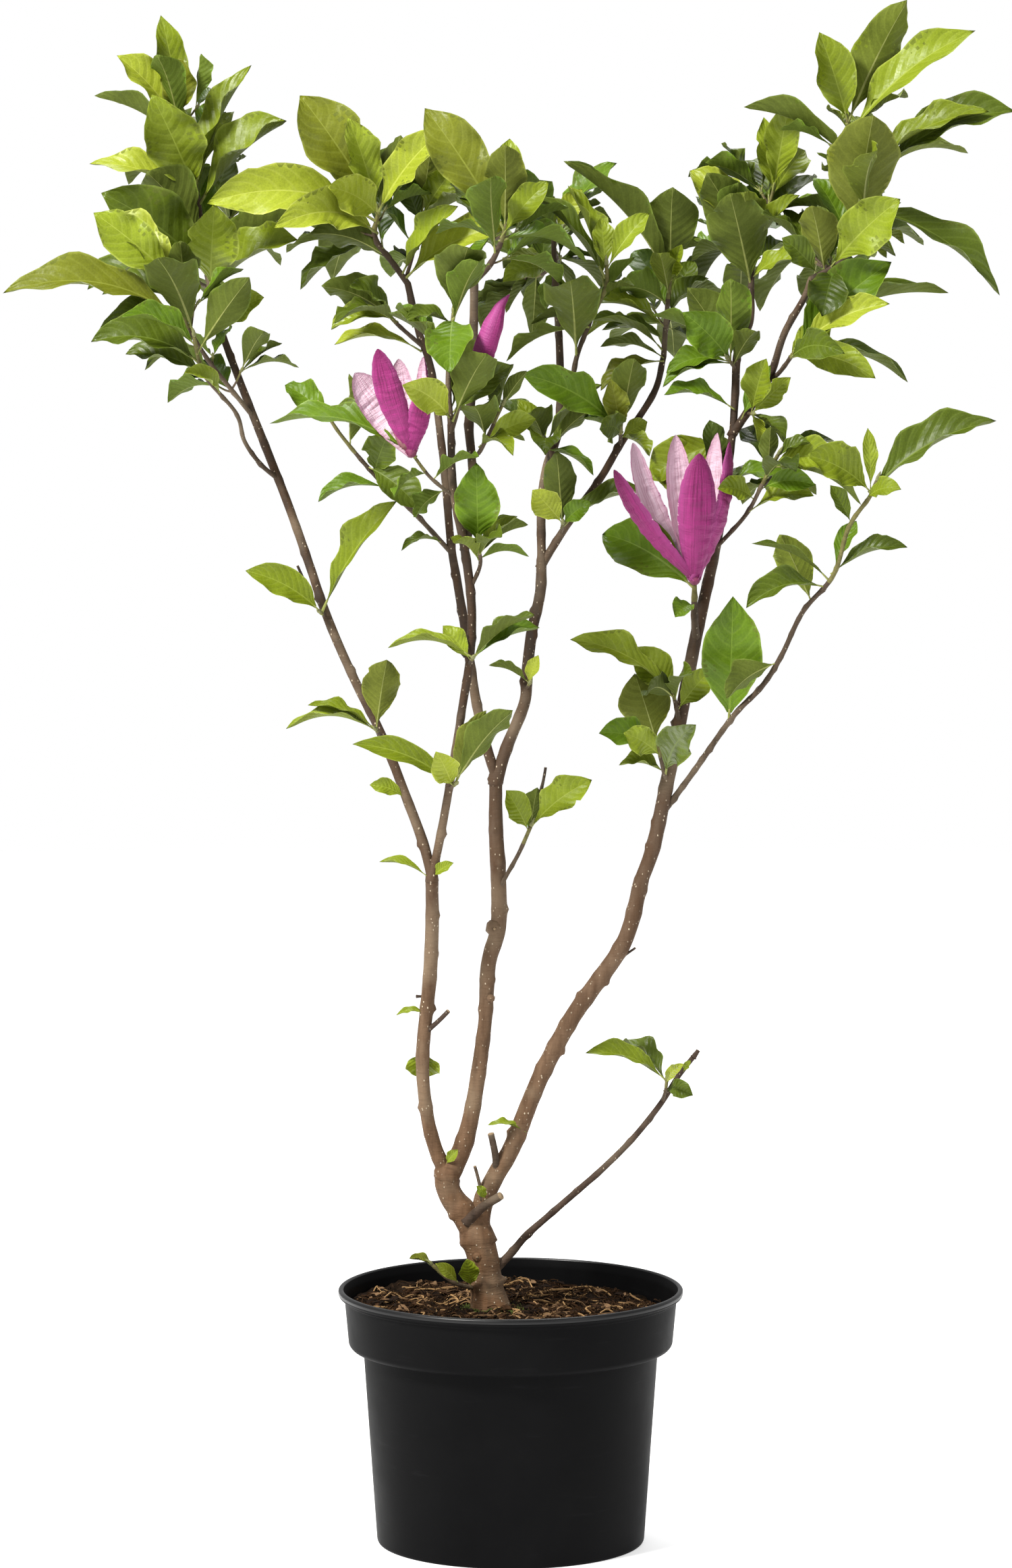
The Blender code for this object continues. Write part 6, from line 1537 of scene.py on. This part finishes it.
def bark_finish(name, low, middle, high, dot):
    """Bark that darkens upwards, with pale pores, cross cracks and long streaks."""
    finish = Finish(name, 0.68, 0.20)
    height = finish.part(finish.place["Object"], "Z")
    ground = finish.ramp(height, (0.20, low), (0.42, middle), (0.58, blended(middle, high, 0.55)),
                         (0.74, high))
    streak = finish.noise(1.0, 4.0, finish.stretched((160.0, 160.0, 26.0)))
    ground = finish.mix(finish.level(streak, 0.38, 0.66, 0.0, 0.75), ground, scaled(low, 0.42))
    patch = finish.noise(16.0)
    ground = finish.mix(finish.level(patch, 0.50, 0.68, 0.0, 0.55), ground,
                        blended(middle, (0.34, 0.27, 0.18), 0.6))
    cracks = finish.noise(1.0, 3.0, finish.stretched((90.0, 90.0, 620.0)))
    ground = finish.mix(finish.level(cracks, 0.58, 0.74, 0.0, 0.35), ground, scaled(low, 0.45))
    pores = finish.spots(260.0, finish.stretched((1.0, 1.0, 0.7)))
    dots = finish.level(pores, 0.09, 0.19, 1.0, 0.0)
    some = finish.level(finish.noise(34.0, 2.0), 0.40, 0.60, 0.40, 0.90)
    finish.colour(finish.mix(finish.math("MULTIPLY", dots, some), ground, dot))
    finish.bump(finish.total((streak, 0.5), (cracks, 0.6), (dots, 0.5)), 0.8, 0.0014)


def petal_finish(name, foot, middle, edge, roughness):
    """A tepal: long veins, cross ripples, deep at the foot and paler to the margin."""
    finish = Finish(name, roughness, 0.25)
    flat = finish.place["UV"]
    base = finish.ramp(finish.part(flat, "Y"), (0.0, blended(foot, middle, 0.6)), (0.30, middle),
                       (0.62, blended(foot, middle, 0.45)), (0.95, foot))
    away = finish.math("MULTIPLY", finish.off_middle(), 2.0)
    base = finish.mix(finish.level(away, 0.45, 1.0, 0.0, 0.75), base, edge)
    streaks = finish.noise(1.0, 3.0, finish.stretched((34.0, 2.2, 1.0), flat))
    base = finish.mix(finish.level(streaks, 0.40, 0.66, 0.0, 0.60), base, scaled(middle, 1.45))
    base = finish.mix(finish.level(streaks, 0.28, 0.42, 0.35, 0.0), base, scaled(foot, 0.75))
    finish.colour(base)
    ripples = finish.noise(1.0, 2.0, finish.stretched((4.0, 46.0, 1.0), flat))
    finish.bump(finish.total((ripples, 0.8), (streaks, 0.7)), 0.70, 0.0016)


def soil_finish():
    finish = Finish("potting_soil", 0.95, 0.05)
    crumbs = finish.noise(210.0, 6.0, roughness=0.75)
    base = finish.ramp(crumbs, (0.38, (0.008, 0.005, 0.003)), (0.55, (0.026, 0.015, 0.009)),
                       (0.68, (0.070, 0.041, 0.022)), (0.82, (0.150, 0.090, 0.048)))
    damp = finish.level(finish.noise(22.0), 0.35, 0.6, 0.55, 0.0)
    finish.colour(finish.mix(damp, base, (0.014, 0.009, 0.006)))
    finish.bump(crumbs, 1.0, 0.0045)


def plastic_finish(name, roughness, gloss):
    """Black plastic with dust, scuffs and faint moulding marks."""
    finish = Finish(name, roughness, gloss)
    dust = finish.noise(9.0, 5.0, roughness=0.65)
    scuff = finish.noise(1.0, 5.0, finish.stretched((14.0, 14.0, 130.0)), 0.7)
    base = finish.ramp(dust, (0.35, (0.0040, 0.0040, 0.0043)), (0.60, (0.0054, 0.0054, 0.0057)),
                       (0.82, (0.0085, 0.0084, 0.0082)))
    finish.colour(finish.mix(finish.level(scuff, 0.62, 0.80, 0.0, 0.30), base,
                             (0.020, 0.020, 0.021)))
    finish.rough(finish.level(dust, 0.3, 0.8, roughness - 0.10, roughness + 0.10))
    finish.bump(finish.total((finish.noise(700.0, 2.0), 0.4), (scuff, 1.0)), 0.10, 0.0006)


def floor_finish():
    finish = Finish("studio_floor", 0.90, 0.1)
    finish.colour(finish.ramp(finish.noise(2.0, 2.0), (0.3, (0.88,) * 3), (0.7, (0.91,) * 3)))
    finish.feed((1.0, 1.0, 1.0), finish.shader["Emission Color"])
    finish.feed(0.50, finish.shader["Emission Strength"])


# Each tone's blade and its veins
TONES = {"young": ((0.310, 0.365, 0.026), (0.48, 0.52, 0.10)),
         "light": ((0.215, 0.275, 0.014), (0.36, 0.42, 0.07)),
         "fresh": ((0.160, 0.208, 0.008), (0.29, 0.35, 0.05)),
         "olive": ((0.150, 0.170, 0.011), (0.27, 0.30, 0.05)),
         "green": ((0.100, 0.178, 0.006), (0.21, 0.31, 0.04)),
         "mature": ((0.080, 0.116, 0.006), (0.18, 0.24, 0.04)),
         "deep": ((0.046, 0.072, 0.005), (0.11, 0.15, 0.03))}

# Colour, roughness, scale of the grain, spread of the colour, bump and, at times, gloss
PLAIN_FINISHES = {
    "stalk": ((0.270, 0.290, 0.080), 0.50, 220.0, 0.25, 0.1),
    "twig_green": ((0.150, 0.135, 0.045), 0.55, 260.0, 0.35, 0.25),
    "bud": ((0.230, 0.235, 0.100), 0.80, 500.0, 0.35, 0.6),
    "cut_wood": ((0.330, 0.235, 0.140), 0.80, 420.0, 0.35, 0.5),
    "petal_foot": ((0.230, 0.050, 0.110), 0.55, 200.0, 0.3, 0.2),
    "flower_cone": ((0.300, 0.130, 0.140), 0.65, 300.0, 0.4, 0.4),
    "chip_brown": ((0.050, 0.025, 0.012), 0.90, 300.0, 0.45, 0.6, 0.05),
    "chip_dark": ((0.015, 0.009, 0.006), 0.90, 300.0, 0.45, 0.6, 0.05),
    "chip_pale": ((0.190, 0.112, 0.058), 0.90, 300.0, 0.40, 0.5, 0.05),
    "straw": ((0.400, 0.240, 0.105), 0.80, 300.0, 0.35, 0.4, 0.1),
    "fibre": ((0.050, 0.026, 0.012), 0.90, 300.0, 0.40, 0.4, 0.05),
    "moss": ((0.090, 0.120, 0.025), 0.95, 400.0, 0.45, 0.6)}


def make_materials():
    for tone, (colour, vein) in TONES.items():
        leaf_finish("leaf_" + tone, colour, vein, 0.40, 0.75, 0.24)
        # Undersides blend the blade's colour towards a dull dark green: painted shade, as they face
        # away from the light.
        shade_darkened_under = blended(colour, (0.100, 0.120, 0.022), 0.60)
        leaf_finish("under_" + tone, shade_darkened_under, blended(shade_darkened_under, vein, 0.6), 0.62, -0.7, 0.15)
        plain_finish("rib_" + tone, blended(colour, vein, 0.55), 0.45, 300.0, 0.12, 0.1)
    for name, looks in PLAIN_FINISHES.items():
        plain_finish(name, *looks)
    bark_finish("bark_pale", (0.172, 0.088, 0.041), (0.160, 0.097, 0.056), (0.046, 0.032, 0.023),
                (0.70, 0.58, 0.42))
    bark_finish("bark_dark", (0.075, 0.046, 0.030), (0.066, 0.043, 0.030), (0.042, 0.030, 0.023),
                (0.46, 0.38, 0.28))
    bark_finish("bark_twig", (0.110, 0.075, 0.045), (0.095, 0.066, 0.042), (0.085, 0.058, 0.038),
                (0.42, 0.36, 0.26))
    petal_finish("petal_outside", (0.130, 0.006, 0.060), (0.280, 0.026, 0.150),
                 (0.420, 0.095, 0.290), 0.50)
    petal_finish("petal_inside", (0.600, 0.360, 0.460), (0.780, 0.580, 0.660),
                 (0.600, 0.250, 0.400), 0.58)
    soil_finish()
    plastic_finish("black_plastic", 0.50, 0.03)
    plastic_finish("pot_lip", 0.34, 0.35)
    floor_finish()


# Studio

FLOOR_RADIUS = 5.0
FLOOR_SIDES = 64
SURROUND_LIGHT = 0.46
WHITE = (1.0, 1.0, 1.0, 1.0)
CAMERA_PLACE = (-0.0038, -5.0, 1.135)
CAMERA_PITCH = 5.894
CAMERA_LENS = 143.4
LAMP_AIM = Vector((0.0, 0.0, 0.75))
Lamp = namedtuple("Lamp", "place size power tint")
LAMPS = {"key": Lamp((-1.8, -1.7, 3.0), 0.7, 165.0, (1.0, 0.985, 0.95)),
         "fill": Lamp((2.4, -2.2, 2.2), 1.2, 16.0, (0.97, 0.985, 1.0)),
         "back": Lamp((0.0, 1.7, 3.0), 1.4, 40.0, (1.0, 1.0, 1.0))}


def build_floor():
    verts = [(FLOOR_RADIUS * cosine, FLOOR_RADIUS * sine, 0.0)
             for cosine, sine in circle(FLOOR_SIDES)]
    mesh = bpy.data.meshes.new("floor")
    mesh.from_pydata(verts, [], [tuple(range(FLOOR_SIDES))])
    mesh.materials.append(MATERIALS["studio_floor"])
    floor = link_object("floor", mesh)


def build_surround():
    """A white surround, dimmer as a light than it looks."""
    world = bpy.data.worlds.new("studio")
    bpy.context.scene.world = world
    world.use_nodes = True
    nodes = world.node_tree.nodes
    sky = nodes["Background"]
    sky.inputs["Color"].default_value = WHITE
    sky.inputs["Strength"].default_value = SURROUND_LIGHT
    white = nodes.new("ShaderNodeBackground")
    white.inputs["Color"].default_value = WHITE
    seen = nodes.new("ShaderNodeLightPath")
    choice = nodes.new("ShaderNodeMixShader")
    link = world.node_tree.links.new
    link(seen.outputs["Is Camera Ray"], choice.inputs[0])
    link(sky.outputs[0], choice.inputs[1])
    link(white.outputs[0], choice.inputs[2])
    link(choice.outputs[0], nodes["World Output"].inputs["Surface"])


def build_lamps():
    for name, lamp in LAMPS.items():
        light = bpy.data.lights.new(name, "AREA")
        light.size = lamp.size
        light.energy = lamp.power
        light.color = lamp.tint
        item = link_object(name, light)
        item.location = lamp.place
        aim = LAMP_AIM - Vector(lamp.place)
        item.rotation_euler = aim.to_track_quat("-Z", "Y").to_euler()


def build_camera():
    """The photograph's view: a long lens that looks down a little."""
    lens = bpy.data.cameras.new("camera")
    lens.sensor_fit = "AUTO"
    lens.sensor_width = 36.0
    lens.lens = CAMERA_LENS
    lens.clip_end = 50.0
    camera = link_object("camera", lens)
    camera.location = CAMERA_PLACE
    camera.rotation_euler = (math.radians(90 - CAMERA_PITCH), 0.0, 0.0)
    bpy.context.scene.camera = camera


make_materials()
build_floor()
build_surround()
build_lamps()
build_camera()
bpy.context.scene.view_settings.view_transform = "Standard"

# Growth, in the order of the solids

limb_paths = {}
for name, limb in LIMBS.items():
    limb_paths[name] = limb_path(limb)
    add_obstacle(*tube_shape(limb_paths[name], limb.radii, limb.sides, CLEARANCE), name)
for name, limb in LIMBS.items():
    for stub in limb.stubs:
        ends = metres((stub.start, stub.end))
        add_obstacle(*tube_shape(ends, (stub.radius, stub.radius * 0.9), 6, CLEARANCE), name)

bloom_paths = {}
for name, bloom in BLOOMS.items():
    path = smooth_path(metres(bloom.stem), 0.010)
    bloom_paths[name] = path
    for petal in bloom.petals:
        reach = Vector(petal.reach) * CM
        normal = petal_normal(reach, petal.turn)
        add_obstacle(*blade_shape(path[-1] - reach.normalized() * 0.003, reach, normal,
                                  petal.width * CM / 2, -normal * 0.10 * reach.length,
                                  petal.cup, PETAL_PROFILE, 0.0012, 0.0016), name)
    add_obstacle(*tube_shape(path, bloom.radii, 5), name)
bud_path = smooth_path(metres(BUD_TWIG), 0.012)
add_obstacle(*tube_shape(bud_path, BUD_TWIG_RADII, 4), "bloom_bud")
bud_reach = Vector(BUD_REACH) * CM
bud_foot = bud_path[-1] - bud_reach * 0.03
add_obstacle(*tube_shape([bud_foot + bud_reach * share for share in (0.0, 0.18, 0.42, 0.70, 1.0)],
                         [BUD_RADIUS / CM * width for width in (0.45, 0.86, 1.0, 0.66, 0.12)], 7),
             "bloom_bud")

growths = [Growth("foliage_" + name, mass) for name, mass in MASSES.items()]
for growth in growths:
    growth.grow_stem()
for growth in growths:
    growth.grow_shoots()
bloom_leaves = {}
for name, bloom in BLOOMS.items():
    bloom_leaves[name] = []
    for lead in (Lead(*row) for row in bloom.leaves):
        root = point_on(bloom_paths[name], lead.station)
        reach = Vector(lead.reach) * CM
        normal = facing(reach, lead.turn)
        moved = find_room(root, reach, normal, lead.width, name, LEAF_PROFILE, NUDGES)
        if moved is not None:
            bloom_leaves[name].append(
                Leaf(root, moved, normal, lead.width, "green", LEAD_ROWS, 0.3))
for growth in growths:
    growth.grow_leads()
for growth in growths:
    growth.grow_fill()
for growth in growths:
    growth.grow_late()
for growth in growths:
    growth.grow_side_twigs()

# Wood, then the twigs and leaves of each mass, then blooms and single leaves

chance = random.Random(5)
wood = Batch("bark_wood")
for name, limb in LIMBS.items():
    add_limb(wood, name, chance)
    for stub in limb.stubs:
        add_stub(wood, stub, chance)
for stub in DEAD_TWIGS:
    add_stub(wood, stub, chance)
for place, size in KNOTS:
    add_knot(wood, place, size)
wood.build("bark", list(LIMBS))

twigs = Batch("twigs_and_buds")
leaf_batches = [Batch("leaves_left"), Batch("leaves_middle"), Batch("leaves_right")]
replaced = [[], [], []]
for growth in growths:
    end = growth.stem[-1].x
    side = 0 if end < LEFT_CROWN_END else 1 if end < RIGHT_CROWN_START else 2
    replaced[side].append(growth.name)
    path = add_twig(twigs, metres(growth.mass.stem), growth.mass.radii, chance, 0.72)
    add_bud(twigs, path[-1], end_heading(path), 0.009, 0.0018)
    for points, radii in growth.twigs:
        path = add_twig(twigs, points, radii, chance, 0.40)
        add_bud(twigs, path[-1], end_heading(path), 0.006, 0.0013)
    for leaf in growth.leaves:
        add_leaf(leaf_batches[side], leaf, chance)
        if chance.random() < 0.4:
            heading = (leaf.reach.normalized() + UP * 0.8).normalized()
            add_bud(twigs, leaf.root, heading, 0.0042, 0.0009)

blooms = Batch("blooms")
for name in BLOOMS:
    add_bloom(blooms, twigs, leaf_batches[1], name, chance)
add_flower_bud(blooms, twigs, chance)
for root, reach, turn, width, letter in LIMB_LEAVES:
    root, reach = metres((root, reach))
    single = Leaf(root, reach, facing(reach, turn), width, TONE_NAMES[letter], LIMB_LEAF_ROWS, 0.3)
    add_leaf(leaf_batches[1], single, chance)

for batch, names in zip(leaf_batches, replaced):
    batch.build("leaf_green", names)
twigs.build("bark", [growth.name for growth in growths])
blooms.build("petal_magenta", list(BLOOMS) + ["bloom_bud"])

# Pot, soil and litter

pot = Batch("pot_shell")
add_pot(pot)
pot.build("black_plastic", ["pot"], sharp=50)
soil = Batch("soil_surface")
add_soil(soil)
soil.build("soil_brown", ["soil"])
litter = Batch("soil_litter")
for _ in range(CHIPS):
    add_chip(litter, chance)
for _ in range(FIBRES):
    add_fibre(litter, chance, ("chip_brown", "fibre", "fibre", "chip_dark"), 1.0, 1.0)
for _ in range(STRAWS):
    add_fibre(litter, chance, ("straw", "straw", "chip_pale"), 1.4, 1.9)
add_moss(litter, chance)
litter.build("soil_brown", ["soil"], sharp=40)
